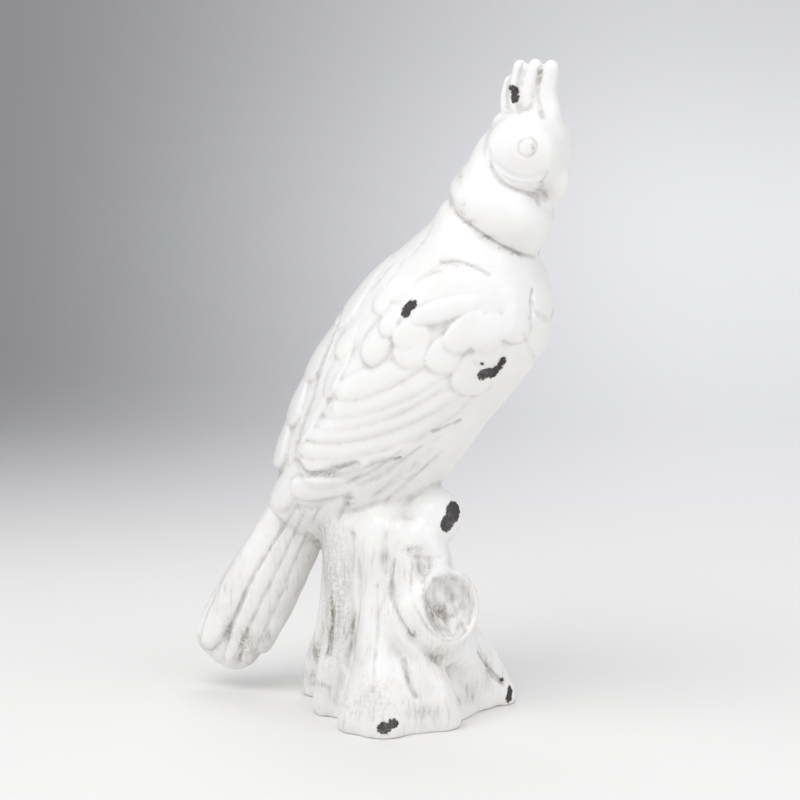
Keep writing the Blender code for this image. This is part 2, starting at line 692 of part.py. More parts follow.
def distance_to_path(points, path):
    nearest = np.full(len(points), np.inf)
    for start, end in zip(path, path[1:]):
        run = end - start
        share = np.clip((points - start) @ run / (run @ run), 0.0, 1.0)
        nearest = np.minimum(nearest, np.linalg.norm(points - start - share[:, None] * run, axis=1))
    return nearest


def press_lines(obj, skin):
    # Presses soft grooves into the clay along lines that are cast onto its skin.
    mesh = obj.data
    points = np.array([vert.co for vert in mesh.vertices])
    normals = np.array([vert.normal for vert in mesh.vertices])
    depths = np.zeros(len(points))
    lines = [(stump_chart, *line) for line in STUMP_LINES]
    for side in (-1, 1):
        lines += [(side_chart(side), *line) for line in SIDE_LINES]
        lines += [(head_chart(side), *line) for line in HEAD_LINES]
        lines.append((head_chart(side), eye_ring(), EYE_RADIUS * 0.3, EYE_RADIUS * 0.25))
    for chart, path, half_width, depth in lines:
        landed = np.array([land(skin, chart, *place)[0] for place in smooth_rows(path)])
        near = np.all(np.abs(points - landed.mean(axis=0)) < np.ptp(landed, axis=0) + half_width, axis=1)
        away = np.minimum(distance_to_path(points[near], landed) / half_width, 1.0)
        depths[near] = np.maximum(depths[near], depth * (1.0 - away ** 2) ** 2)
    mesh.vertices.foreach_set("co", (points - normals * depths[:, None]).ravel())
    mesh.update()


def carve_knot(obj):
    dish = bmesh.new()
    centre, out, _, _ = knot_frame()
    radius = KNOT_RADIUS * 1.42
    add_ball(dish, centre + out * radius * 0.72, (radius, radius, radius))
    cut(obj, object_from(dish, "knot_dish"))


def cut(obj, cutter):
    boolean = obj.modifiers.new("Cut", "BOOLEAN")
    boolean.operation = "DIFFERENCE"
    boolean.solver = "EXACT"
    boolean.object = cutter
    bake(obj)
    bpy.data.objects.remove(cutter)


def cut_flat_base(obj):
    bm = bmesh.new()
    bm.from_mesh(obj.data)
    plane = bmesh.ops.bisect_plane(
        bm, geom=bm.verts[:] + bm.edges[:] + bm.faces[:], dist=1e-6,
        plane_co=(0.0, 0.0, 0.0), plane_no=(0.0, 0.0, -1.0), clear_outer=True)
    rim = [item for item in plane["geom_cut"] if isinstance(item, bmesh.types.BMEdge)]
    bmesh.ops.edgeloop_fill(bm, edges=rim)
    bmesh.ops.triangulate(bm, faces=[face for face in bm.faces if len(face.verts) > 4])
    bm.to_mesh(obj.data)
    bm.free()


def hollow_out(obj):
    cavity = bmesh.new()
    body_loft(cavity, shrink=WALL)
    ruff_loft(cavity, shrink=WALL)
    stump_loft(cavity, shrink=WALL, floor=WALL)
    inner = SKULL_RADIUS - WALL
    add_ball(cavity, head_point(0.0, 0.0), (inner, inner, inner))
    core = object_from(cavity, "cavity")
    fuse(core, CAVITY_VOXEL, 4)
    thin_out(core, CAVITY_TRIANGLES)
    cut(obj, core)
    hole = bmesh.new()
    bmesh.ops.create_cone(
        hole, cap_ends=True, segments=32, radius1=POUR_HOLE_RADIUS, radius2=POUR_HOLE_RADIUS,
        depth=0.05, matrix=Matrix.Translation((0.0, 0.0, 0.012)))
    cut(obj, object_from(hole, "pour_hole"))


def centre_on_base(obj):
    # The origin is the middle of the bounding box, on the floor.
    corners = np.array([vert.co for vert in obj.data.vertices])
    middle = (corners.min(axis=0) + corners.max(axis=0)) / 2
    obj.data.transform(Matrix.Translation((-middle[0], -middle[1], -corners.min(axis=0)[2])))


def glaze():
    material = bpy.data.materials.new("white_glaze")
    material.use_nodes = True
    shader = material.node_tree.nodes["Principled BSDF"]
    shader.inputs["Base Color"].default_value = GLAZE_COLOUR
    shader.inputs["Roughness"].default_value = GLAZE_ROUGHNESS
    shader.inputs["Metallic"].default_value = 0.0
    return material


def build_core():
    bm = bmesh.new()
    body_loft(bm)
    add_thighs(bm)
    ruff_loft(bm)
    tail_loft(bm)
    stump_loft(bm)
    add_roots(bm)
    add_knot(bm)
    add_stub(bm)
    add_head(bm)
    return bm


def skin_of(obj):
    bm = bmesh.new()
    bm.from_mesh(obj.data)
    skin = BVHTree.FromBMesh(bm)
    bm.free()
    return skin


def main():
    for obj in list(bpy.data.objects):
        bpy.data.objects.remove(obj, do_unlink=True)

    figurine = object_from(build_core(), "cockatoo_figurine")
    fuse(figurine, CORE_VOXEL, 2)
    soften_stump(figurine)

    bm = bmesh.new()
    bm.from_mesh(figurine.data)
    add_wing_pads(bm, skin_of(figurine))
    bm.to_mesh(figurine.data)
    bm.free()
    fuse(figurine, CORE_VOXEL, 2)
    carve_knot(figurine)
    soften_stump(figurine, 3)

    skin = skin_of(figurine)
    bm = bmesh.new()
    bm.from_mesh(figurine.data)
    add_back(bm, skin)
    tail = bmesh.new()
    tail_loft(tail)
    tail_skin = BVHTree.FromBMesh(tail)
    tail.free()
    for side in (-1, 1):
        add_wing(bm, skin, side)
        add_tail_feathers(bm, skin, tail_skin, side)
    add_knot_lip(bm)
    add_crest(bm)
    add_eyes(bm)
    bmesh.ops.recalc_face_normals(bm, faces=bm.faces)
    bm.to_mesh(figurine.data)
    bm.free()
    fuse(figurine, SURFACE_VOXEL, 1)
    press_lines(figurine, skin_of(figurine))

    thin_out(figurine, TRIANGLE_BUDGET)
    cut_flat_base(figurine)
    hollow_out(figurine)
    centre_on_base(figurine)
    figurine.data.shade_smooth()
    figurine.data.set_sharp_from_angle(angle=math.radians(50))
    figurine.data.materials.append(glaze())


if __name__ == "__main__":
    main()
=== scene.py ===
import math
import time

import bmesh
import bpy
import numpy as np
from mathutils import Matrix, Vector, noise
from mathutils.bvhtree import BVHTree


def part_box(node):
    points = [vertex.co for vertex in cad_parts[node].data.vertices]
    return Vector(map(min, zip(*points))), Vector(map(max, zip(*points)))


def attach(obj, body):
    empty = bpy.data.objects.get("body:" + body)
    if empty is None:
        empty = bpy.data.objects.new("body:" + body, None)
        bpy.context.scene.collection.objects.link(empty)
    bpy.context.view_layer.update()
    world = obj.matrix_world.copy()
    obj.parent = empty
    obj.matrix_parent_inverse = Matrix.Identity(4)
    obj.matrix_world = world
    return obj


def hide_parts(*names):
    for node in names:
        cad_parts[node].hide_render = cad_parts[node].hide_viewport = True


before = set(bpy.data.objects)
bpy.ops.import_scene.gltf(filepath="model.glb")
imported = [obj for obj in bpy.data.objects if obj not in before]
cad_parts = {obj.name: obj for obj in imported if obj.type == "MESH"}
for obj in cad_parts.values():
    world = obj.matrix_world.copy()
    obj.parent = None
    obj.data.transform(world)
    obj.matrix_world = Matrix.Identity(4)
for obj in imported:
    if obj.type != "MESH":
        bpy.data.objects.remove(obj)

startTime = time.time()
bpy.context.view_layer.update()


def report(stage):
    print("%5.1f s  %s" % (time.time() - startTime, stage))


# Sizes of the bird in metres. Points on it are given along its leaning axis, across it towards the
# belly, and sideways, and points on the head forward of and above the middle of the skull.
bird = {
    # body: where the chest is, how it leans, half sizes
    "perchHeight": 0.105,
    "chestAbovePerch": 0.093,
    "chestForward": 0.0185,
    "bodyLean": math.radians(57.5),
    "bodyHalfWidth": 0.042,
    "bodyHalfDepth": 0.0445,
    # tail and neck ruff
    "tailRoot": -0.112,
    "tailLength": 0.110,
    "tailHalfDepth": 0.0192,
    "tailHalfThickness": 0.0095,
    "ruffHalfWidth": 0.0285,
    # head, with the middle of the skull along and across the body
    "headAlong": 0.1092,
    "headAcross": -0.0127,
    "skullRadius": 0.0205,
    "skullHalfWidth": 0.0212,
    "eyeRadius": 0.0041,
    "eyePlace": (0.0085, 0.0043),
    "eyeOut": 0.0222,
    "beakRadius": 0.0077,
    "crestRoot": 0.0170,
    "crestLength": 0.0250,
    # stump, with its knot and the cut-off branch
    "footSpread": 0.050,
    "stumpHalfWidth": 0.033,
    "knotRadius": 0.0172,
    "knotReach": 0.0432,
    "knotAzimuth": math.radians(61.0),
    "knotTilt": math.radians(14.0),
    "lipRadius": 0.0021,
    "stubRadius": 0.0155,
    "stubAzimuth": math.radians(72.0),
    # feathers
    "featherLift": 0.0026,
    "tailLift": 0.0034,
    "featherSink": 0.0020,
    "bluntness": 2.7,
    "rootLift": 0.15,
    "rootWidth": 0.70,
    # how the clay is worked
    "wall": 0.0055,
    "pourHoleRadius": 0.009,
    "coreVoxel": 0.0015,
    "surfaceVoxel": 0.0009,
    "cavityVoxel": 0.0035,
    "cavityTriangles": 700,
    "surfaceTriangles": 185000,
    "thinnest": 0.004,
}

# Rows of: along, across, share of the half width, share of the half depth.
bodySections = (
    (-0.128, -0.011, 0.36, 0.40),
    (-0.118, -0.0085, 0.48, 0.49),
    (-0.100, -0.0045, 0.69, 0.69),
    (-0.075, -0.0010, 0.88, 0.930),
    (-0.047, -0.0014, 0.97, 1.020),
    (-0.025, -0.0008, 0.99, 1.035),
    (-0.002, 0.0010, 1.00, 1.060),
    (0.015, 0.0028, 0.98, 1.050),
    (0.032, 0.0052, 0.93, 0.985),
    (0.050, 0.0028, 0.82, 0.830),
    (0.061, -0.0042, 0.68, 0.670),
    (0.067, -0.0055, 0.58, 0.565),
    (0.072, -0.007, 0.54, 0.52),
    (0.086, -0.009, 0.42, 0.42),
)

# Rows of: share of the tail's length, across, share of the half thickness, share of the half depth.
tailSections = (
    (-0.14, -0.0120, 1.55, 0.68),
    (0.00, -0.0118, 1.35, 0.77),
    (0.14, -0.0110, 1.15, 0.87),
    (0.34, -0.0098, 1.00, 0.97),
    (0.66, -0.0080, 0.90, 1.07),
    (0.86, -0.0078, 0.74, 1.03),
    (0.95, -0.0078, 0.58, 0.87),
    (1.00, -0.0078, 0.34, 0.56),
)

# Neck ruff, a hood of feathers that overhangs the shoulders.
# Rows of: along, across, share of the half width sideways, share of it front to back.
ruffSections = (
    (0.0680, -0.0070, 0.84, 0.86),
    (0.0690, -0.0073, 0.95, 0.95),
    (0.0735, -0.0078, 1.00, 0.99),
    (0.0800, -0.0074, 0.99, 0.98),
    (0.0870, -0.0088, 0.90, 0.91),
    (0.0930, -0.0128, 0.76, 0.79),
    (0.1000, -0.0195, 0.58, 0.56),
    (0.1070, -0.0235, 0.36, 0.36),
)

# how many faces the shapes start with, and how far off the sight lines start
ringSegments = 32
ballSegments = (32, 20)
featherSegments = (28, 14)
pathSteps = 5
far = 0.25

axisAlong = Vector((math.cos(bird["bodyLean"]), 0.0, math.sin(bird["bodyLean"])))
axisAcross = Vector((math.sin(bird["bodyLean"]), 0.0, -math.cos(bird["bodyLean"])))
axisSide = Vector((0.0, 1.0, 0.0))
chest = Vector((bird["chestForward"], 0.0, bird["perchHeight"] + bird["chestAbovePerch"]))


def bodyPoint(along, across, sideways=0.0):
    return chest + axisAlong * along + axisAcross * across + axisSide * sideways


def headPoint(forward, up, sideways=0.0):
    return bodyPoint(bird["headAlong"], bird["headAcross"]) + Vector((forward, sideways, up))


def stumpPoint(x, y, share):
    # share runs from 0 at the floor to 1 at the perch.
    return Vector((x, y, bird["perchHeight"] * share))


def towards(azimuth):
    return Vector((math.sin(azimuth), -math.cos(azimuth), 0.0))


def smoothRows(rows, steps=pathSteps):
    # Catmull-Rom curve through rows of numbers.
    rows = np.array(rows, dtype=float)
    padded = np.vstack([2 * rows[0] - rows[1], rows, 2 * rows[-1] - rows[-2]])
    curve = []
    for a, b, c, d in zip(padded, padded[1:], padded[2:], padded[3:]):
        for t in np.linspace(0.0, 1.0, steps, endpoint=False):
            straight = 2 * b + (c - a) * t
            bend = (2 * a - 5 * b + 4 * c - d) * t ** 2 + (3 * b - a - 3 * c + d) * t ** 3
            curve.append((straight + bend) / 2)
    curve.append(rows[-1])
    return np.array(curve)


def section(centre, width, depth):
    # Places a unit circle as an ellipse whose half axes are two vectors.
    placed = Matrix((width, depth, width.cross(depth).normalized())).transposed().to_4x4()
    placed.translation = centre
    return placed


def pressOn(clay, piece):
    # Adds a finished piece to the clay as one more overlapping shell.
    bmesh.ops.recalc_face_normals(piece, faces=piece.faces)
    mesh = bpy.data.meshes.new("piece")
    piece.to_mesh(mesh)
    piece.free()
    clay.from_mesh(mesh)
    bpy.data.meshes.remove(mesh)


def addLoft(clay, sections):
    piece = bmesh.new()
    loops = []
    for placed in sections:
        ring = bmesh.ops.create_circle(piece, segments=ringSegments, radius=1.0, matrix=placed)
        loops.append(list(dict.fromkeys(edge for vert in ring["verts"] for edge in vert.link_edges)))
    for lower, upper in zip(loops, loops[1:]):
        bmesh.ops.bridge_loops(piece, edges=lower + upper)
    for end in (loops[0], loops[-1]):
        bmesh.ops.edgeloop_fill(piece, edges=end)
    pressOn(clay, piece)


def addLimb(bm, points, flatness=1.0):
    # A round limb through (point, radius) pairs with domed ends. Flatness scales it sideways.
    rows = smoothRows([(*point, radius) for point, radius in points])
    first, last = rows[0], rows[-1]
    start = Vector(first[:3] - rows[1][:3]).normalized()
    finish = Vector(last[:3] - rows[-2][:3]).normalized()
    domes = [math.radians(a) for a in (75, 55, 30)]
    stations = [(Vector(first[:3]) + start * first[3] * math.sin(a), first[3] * math.cos(a)) for a in domes]
    stations += [(Vector(row[:3]), row[3]) for row in rows]
    stations += [(Vector(last[:3]) + finish * last[3] * math.sin(a), last[3] * math.cos(a))
                 for a in reversed(domes)]
    sections = []
    for i, (centre, radius) in enumerate(stations):
        ahead = stations[min(i + 1, len(stations) - 1)][0]
        behind = stations[max(i - 1, 0)][0]
        direction = (ahead - behind).normalized()
        width = direction.cross(axisSide).normalized() * radius
        if width.length == 0.0:
            width = Vector((radius, 0.0, 0.0))
        depth = direction.cross(width).normalized() * radius * flatness
        sections.append(section(centre, width, depth))
    addLoft(bm, sections)


def addBall(bm, centre, radii, turn=None):
    placed = Matrix.Translation(centre) @ (turn or Matrix()) @ Matrix.Diagonal((*radii, 1.0))
    piece = bmesh.new()
    around, upward = ballSegments
    bmesh.ops.create_uvsphere(piece, u_segments=around, v_segments=upward, radius=1.0, matrix=placed)
    pressOn(bm, piece)


def sideChart(side):
    # Looks at the bird from one side: chart points are (along, across).
    def look(a, b):
        return bodyPoint(a, b, side * far), axisSide * -side
    return look


def headChart(side):
    # Looks at the head from one side: chart points are (forward, up) from the middle of the skull.
    def look(a, b):
        return headPoint(a, b, side * far), axisSide * -side
    return look


def backChart(a, b):
    # Looks at the bird's back: chart points are (along, sideways).
    return bodyPoint(a, -far, b), axisAcross


def land(skin, chart, a, b):
    # where a chart point meets the skin, with the normal there
    origin, direction = chart(a, b)
    hit, normal, _, _ = skin.ray_cast(origin, direction)
    if hit is None:
        hit, normal, _, _ = skin.find_nearest(origin + direction * far)
    return hit, normal


def addFeather(bm, skin, chart, root, middle, tip, halfWidth, lift=bird["featherLift"], tilt=0.0):
    # A lens laid over the skin. Its root sinks in, its tip stands proud, and a tilt raises one edge.
    root, middle, tip = Vector(root), Vector(middle), Vector(tip)
    control = middle * 2 - (root + tip) / 2
    blunt, narrow = bird["bluntness"], bird["rootWidth"]
    lens = bmesh.new()
    around, upward = featherSegments
    bmesh.ops.create_uvsphere(lens, u_segments=around, v_segments=upward, radius=1.0)
    for vert in lens.verts:
        lengthwise, crosswise, height = vert.co
        # squares the outline off a little, so that the tip is blunt
        girth = math.hypot(lengthwise, crosswise)
        squared = (abs(lengthwise) ** blunt + abs(crosswise) ** blunt) ** (1 / blunt)
        if squared > 0.0:
            lengthwise, crosswise = lengthwise * girth / squared, crosswise * girth / squared
        t = (lengthwise + 1) / 2
        spine = root * (1 - t) ** 2 + control * 2 * t * (1 - t) + tip * t ** 2
        run = ((control - root) * (1 - t) + (tip - control) * t).normalized()
        reach = crosswise * halfWidth * (narrow + (1 - narrow) * min(1.0, 1.6 * t))
        place = spine + Vector((-run.y, run.x)) * reach
        hit, normal = land(skin, chart, *place)
        if height > 0:
            rise = (lift * (bird["rootLift"] + (1 - bird["rootLift"]) * t) + tilt * crosswise) * height ** 0.5
        else:
            rise = bird["featherSink"] * height
        vert.co = hit + normal * rise
    pressOn(bm, lens)


def objectFrom(bm, name):
    bmesh.ops.recalc_face_normals(bm, faces=bm.faces)
    mesh = bpy.data.meshes.new(name)
    bm.to_mesh(mesh)
    bm.free()
    obj = bpy.data.objects.new(name, mesh)
    bpy.context.scene.collection.objects.link(obj)
    return obj


def bake(obj):
    # Replaces the object's mesh with what its modifiers make of it.
    graph = bpy.context.evaluated_depsgraph_get()
    baked = bpy.data.meshes.new_from_object(obj.evaluated_get(graph))
    obj.modifiers.clear()
    spare = obj.data
    obj.data = baked
    bpy.data.meshes.remove(spare)


def fuse(obj, voxel, rounds, factor=0.5):
    # Melts overlapping shells into one smooth skin.
    remesh = obj.modifiers.new("Fuse", "REMESH")
    remesh.mode = "VOXEL"
    remesh.voxel_size = voxel
    smooth = obj.modifiers.new("Soften", "SMOOTH")
    smooth.factor = factor
    smooth.iterations = rounds
    bake(obj)


def softenWhere(obj, rounds, weightAt):
    # smooths the skin by a weight from 0 to 1 at each point
    region = obj.vertex_groups.new(name="region")
    for vert in obj.data.vertices:
        weight = min(1.0, weightAt(vert.co))
        if weight > 0.0:
            region.add([vert.index], weight, "REPLACE")
    smooth = obj.modifiers.new("Soften", "SMOOTH")
    smooth.vertex_group = "region"
    smooth.iterations = rounds
    bake(obj)
    obj.vertex_groups.clear()


def softenStump(obj, rounds):
    # The bark flows from column to column, so the stump is smoothed more than the bird.
    softenWhere(obj, rounds, lambda place: (bird["perchHeight"] * 0.95 - place.z) / 0.015)


def softenAt(obj, centre, radius, rounds):
    # smooths away the step where one mass runs into another
    softenWhere(obj, rounds, lambda place: (1.0 - (place - centre).length / radius) * 2.0)


def triangleCount(obj):
    return sum(len(face.vertices) - 2 for face in obj.data.polygons)


def thinOut(obj, triangles):
    decimate = obj.modifiers.new("Thin out", "DECIMATE")
    decimate.ratio = min(1.0, triangles / triangleCount(obj))
    decimate.use_collapse_triangulate = True
    bake(obj)


def ovalLoft(bm, rows, across, deep, shrink=0.0):
    sections = []
    for alongBody, acrossBody, width, depth in smoothRows(rows):
        halfWidth = across * width - shrink
        halfDepth = deep * depth - shrink
        if min(halfWidth, halfDepth) > bird["thinnest"]:
            centre = bodyPoint(alongBody, acrossBody)
            sections.append(section(centre, axisSide * halfWidth, axisAcross * halfDepth))
    addLoft(bm, sections)


def addTrunk(bm, shrink=0.0):
    ovalLoft(bm, bodySections, bird["bodyHalfWidth"], bird["bodyHalfDepth"], shrink)


def addRuff(bm, shrink=0.0):
    ovalLoft(bm, ruffSections, bird["ruffHalfWidth"], bird["ruffHalfWidth"], shrink)


def tailLoft(bm):
    sections = []
    for share, across, thickness, depth in smoothRows(tailSections):
        centre = bodyPoint(bird["tailRoot"] - bird["tailLength"] * share, across)
        width = axisSide * bird["tailHalfThickness"] * thickness
        sections.append(section(centre, width, axisAcross * bird["tailHalfDepth"] * depth))
    addLoft(bm, sections)


def addThighs(bm):
    # fullness at each side of the vent, where the bird sits on the stump
    for side in (-1, 1):
        addLimb(bm, [(bodyPoint(-0.045, 0.016, side * 0.022), 0.0160),
                      (bodyPoint(-0.080, 0.011, side * 0.020), 0.0145),
                      (bodyPoint(-0.104, 0.004, side * 0.014), 0.0115)])


def stumpLoft(bm, shrink=0.0, floor=-0.01):
    # Rows of: share of the height, x of the middle, share of the half width.
    rows = (
        (-0.03, 0.0000, 1.18),
        (0.08, -0.0010, 1.16),
        (0.24, -0.0040, 1.07),
        (0.48, -0.0085, 0.96),
        (0.72, -0.0120, 0.91),
        (0.92, -0.0120, 0.92),
        (1.02, -0.0110, 0.88),
        (1.12, -0.0080, 0.66),
    )
    sections = []
    for share, x, size in smoothRows(rows):
        half = bird["stumpHalfWidth"] * size - shrink
        centre = stumpPoint(x, 0.0, share)
        if centre.z > floor:
            sections.append(section(centre, Vector((half, 0.0, 0.0)), Vector((0.0, half * 1.03, 0.0))))
    addLoft(bm, sections)


def addRoots(bm):
    # Columns of the stump that run down into root toes. Each is a row of x, y, share of the height, radius.
    spread = bird["footSpread"]
    columns = (
        # front column with its broad toe
        ((-0.0038, -0.0225, 0.96, 0.0105), (-0.0036, -0.0245, 0.86, 0.0102), (-0.001, -0.0275, 0.68, 0.0102),
         (0.000, -0.0325, 0.40, 0.0118), (0.004, -0.80 * spread, 0.18, 0.0148),
         (0.008, -0.94 * spread, 0.04, 0.0138)),
        ((0.000, -0.0325, 0.34, 0.0110), (-0.004, -0.86 * spread, 0.05, 0.0148)),
        # second toe, running out from under the knot
        ((0.012, -0.028, 0.42, 0.0100), (0.0225, -0.0285, 0.22, 0.0125),
         (0.60 * spread, -0.51 * spread, 0.05, 0.0118)),
        # web between the two
        ((0.26 * spread, -0.74 * spread, 0.22, 0.0115), (0.40 * spread, -0.66 * spread, 0.05, 0.0125)),
        # left columns
        ((-0.0365, 0.000, 0.92, 0.0080), (-0.0378, -0.001, 0.55, 0.0085), (-0.0404, 0.001, 0.34, 0.0096),
         (-0.0484, 0.008, 0.16, 0.0102), (-1.03 * spread, 0.21 * spread, 0.02, 0.0098)),
        ((-0.0235, -0.019, 0.93, 0.0078), (-0.0245, -0.0215, 0.55, 0.0082), (-0.027, -0.024, 0.28, 0.0098),
         (-0.64 * spread, -0.44 * spread, 0.04, 0.0100)),
        # right columns
        ((0.007, 0.014, 0.95, 0.0080), (0.015, 0.016, 0.56, 0.0095), (0.0236, 0.018, 0.37, 0.0098),
         (0.0322, 0.023, 0.23, 0.0100), (0.82 * spread, 0.60 * spread, 0.03, 0.0098)),
        ((0.018, -0.006, 0.58, 0.0125), (0.028, 0.002, 0.30, 0.0125),
         (0.68 * spread, 0.34 * spread, 0.03, 0.0100)),
        ((0.000, 0.024, 0.85, 0.0085), (0.007, 0.028, 0.40, 0.0105),
         (0.34 * spread, 0.82 * spread, 0.06, 0.0115)),
        # back columns
        ((-0.014, 0.024, 1.00, 0.0085), (-0.014, 0.027, 0.45, 0.0110), (-0.012, 0.86 * spread, 0.06, 0.0115)),
        ((-0.029, 0.016, 1.00, 0.0080), (-0.031, 0.020, 0.45, 0.0095),
         (-0.76 * spread, 0.58 * spread, 0.06, 0.0100)),
    )
    for column in columns:
        addLimb(bm, [(stumpPoint(x, y, share), radius) for x, y, share, radius in column])


def knotFrame():
    # middle of the hole's mouth, the way it faces, its left and its up
    level = towards(bird["knotAzimuth"])
    centre = Vector((-0.004, -0.001, bird["perchHeight"] * 0.595)) + level * bird["knotReach"]
    left = level.cross(Vector((0.0, 0.0, 1.0)))
    out = Matrix.Rotation(bird["knotTilt"], 3, left) @ level
    return centre, out, left, left.cross(out)


def addKnot(bm):
    # A healed branch hole: a lip of bark, thick at its left and below, and a fold coming down from the stub.
    centre, out, left, up = knotFrame()
    heavySide = left * 0.8 - up * 0.6
    # Rows of: forward of the mouth, share of the hole's radius, shift to the heavy side.
    rows = (
        (-0.0340, 1.50, 0.0080),
        (-0.0180, 1.44, 0.0072),
        (-0.0080, 1.34, 0.0062),
        (-0.0025, 1.22, 0.0034),
        (0.0008, 1.10, 0.0010),
        (0.0016, 1.00, 0.0002),
    )
    sections = []
    for depth, share, shift in smoothRows(rows):
        radius = bird["knotRadius"] * share
        sections.append(section(centre + out * depth + heavySide * shift, left * radius, up * radius))
    addLoft(bm, sections)
    # Rows of: left of the hole's middle, above it, back from its mouth, radius.
    fold = (
        (0.0165, 0.0390, 0.0200, 0.0056),
        (0.0180, 0.0190, 0.0150, 0.0068),
        (0.0190, 0.0010, 0.0120, 0.0070),
        (0.0162, -0.0138, 0.0095, 0.0072),
        (0.0072, -0.0238, 0.0075, 0.0070),
        (-0.0060, -0.0270, 0.0070, 0.0060),
        (-0.0165, -0.0215, 0.0090, 0.0046),
    )
    # bark that fills the space between the hole and the stub
    bark = (
        (0.0060, 0.0340, 0.0180, 0.0110),
        (0.0010, 0.0250, 0.0150, 0.0100),
        (0.0000, 0.0120, 0.0150, 0.0110),
    )
    level = towards(bird["knotAzimuth"])
    upright = Vector((0.0, 0.0, 1.0))
    for rows in (fold, bark):
        addLimb(bm, [(centre + left * side + upright * height - level * back, radius)
                      for side, height, back, radius in rows])


def addKnotLip(bm):
    # the rounded rim of the hole
    centre, out, left, up = knotFrame()
    lip = bmesh.new()
    start = centre - out * bird["lipRadius"] * 0.5 + left * (bird["knotRadius"] + bird["lipRadius"] * 0.3)
    placed = section(start, left * bird["lipRadius"], out * bird["lipRadius"])
    bmesh.ops.create_circle(lip, segments=12, radius=1.0, matrix=placed)
    bmesh.ops.spin(lip, geom=lip.verts[:] + lip.edges[:], cent=centre, axis=out, angle=math.tau,
                   steps=40, use_merge=True)
    pressOn(bm, lip)


def addStub(bm):
    # The sawn-off branch that the bird's belly rests against.
    out = towards(bird["stubAzimuth"])
    middle = Vector((-0.008, 0.002, bird["perchHeight"]))
    across = out.cross(Vector((0.0, 0.0, 1.0)))
    up = Vector((0.0, 0.0, 1.0))
    # Rows of: reach, share of the radius.
    rows = (
        (0.0000, 0.95),
        (0.0140, 1.03),
        (0.0240, 1.02),
        (0.0320, 0.95),
        (0.0370, 0.82),
        (0.0402, 0.60),
        (0.0415, 0.36),
    )
    sections = []
    for reach, share in smoothRows(rows):
        radius = bird["stubRadius"] * share
        sections.append(section(middle + out * reach, across * radius, up * radius))
    addLoft(bm, sections)


def addHead(bm):
    # full-cheeked skull, a drum with rounded ends
    rows = ((-1.00, 0.42), (-0.94, 0.66), (-0.78, 0.87), (-0.45, 0.975), (0.00, 1.00))
    rows = rows + tuple((-y, share) for y, share in rows[-2::-1])
    sections = []
    for y, share in smoothRows(rows):
        radius = bird["skullRadius"] * share
        centre = headPoint(0.0015, -0.0005, bird["skullHalfWidth"] * y)
        sections.append(section(centre, Vector((radius, 0.0, 0.0)), Vector((0.0, 0.0, radius))))
    addLoft(bm, sections)
    # forehead lobe that overhangs the beak
    addLimb(bm, [(headPoint(0.0088, 0.022), 0.0056), (headPoint(0.0113, 0.012), 0.0074),
                  (headPoint(0.0134, 0.005), 0.0080), (headPoint(0.0134, -0.0018), 0.0066)], 1.35)
    # upper beak with its hooked end, and the lower beak behind it
    addLimb(bm, [(headPoint(0.0110, -0.004), 0.0072), (headPoint(0.0146, -0.013), bird["beakRadius"]),
                  (headPoint(0.0148, -0.019), bird["beakRadius"] * 0.88),
                  (headPoint(0.0128, -0.0245), 0.0046)], 0.95)
    addLimb(bm, [(headPoint(0.0050, -0.015), 0.0060), (headPoint(0.0085, -0.0215), 0.0045)], 0.95)
    # nape, where the crest starts
    addBall(bm, headPoint(-0.0108, 0.0106), (0.0078, 0.0100, 0.0080))
    for side in (-1, 1):
        # cheek pad that carries the eye
        addBall(bm, headPoint(0.0035, 0.0010, side * 0.0150), (0.0145, 0.0088, 0.0130))


def addWingPads(bm, skin):
    for side in (-1, 1):
        chart = sideChart(side)
        addFeather(bm, skin, chart, (0.060, 0.012), (0.012, 0.011), (-0.060, -0.007), 0.0295, lift=0.0040)
        addFeather(bm, skin, chart, (-0.010, 0.020), (-0.050, 0.0065), (-0.0915, -0.0190), 0.0165,
                   lift=0.0040)


# Flight feathers of one wing, top to bottom, as chart points: root, middle, tip, and the half width.
flightFeathers = (
    ((0.008, 0.012), (-0.0205, -0.0040), (-0.0430, -0.0198), 0.0066),
    ((0.006, 0.022), (-0.0245, 0.0045), (-0.0570, -0.0208), 0.0060),
    ((-0.001, 0.0245), (-0.0360, 0.0042), (-0.0650, -0.0208), 0.0048),
    ((-0.003, 0.0315), (-0.0395, 0.0090), (-0.0735, -0.0225), 0.0052),
    ((-0.012, 0.0355), (-0.0520, 0.0098), (-0.0835, -0.0228), 0.0054),
    ((-0.022, 0.0365), (-0.0605, 0.0110), (-0.0885, -0.0185), 0.0056),
    ((-0.018, -0.0275), (-0.0345, -0.0262), (-0.0490, -0.0230), 0.0048),
    ((-0.045, -0.0250), (-0.0625, -0.0235), (-0.0785, -0.0226), 0.0036),
)

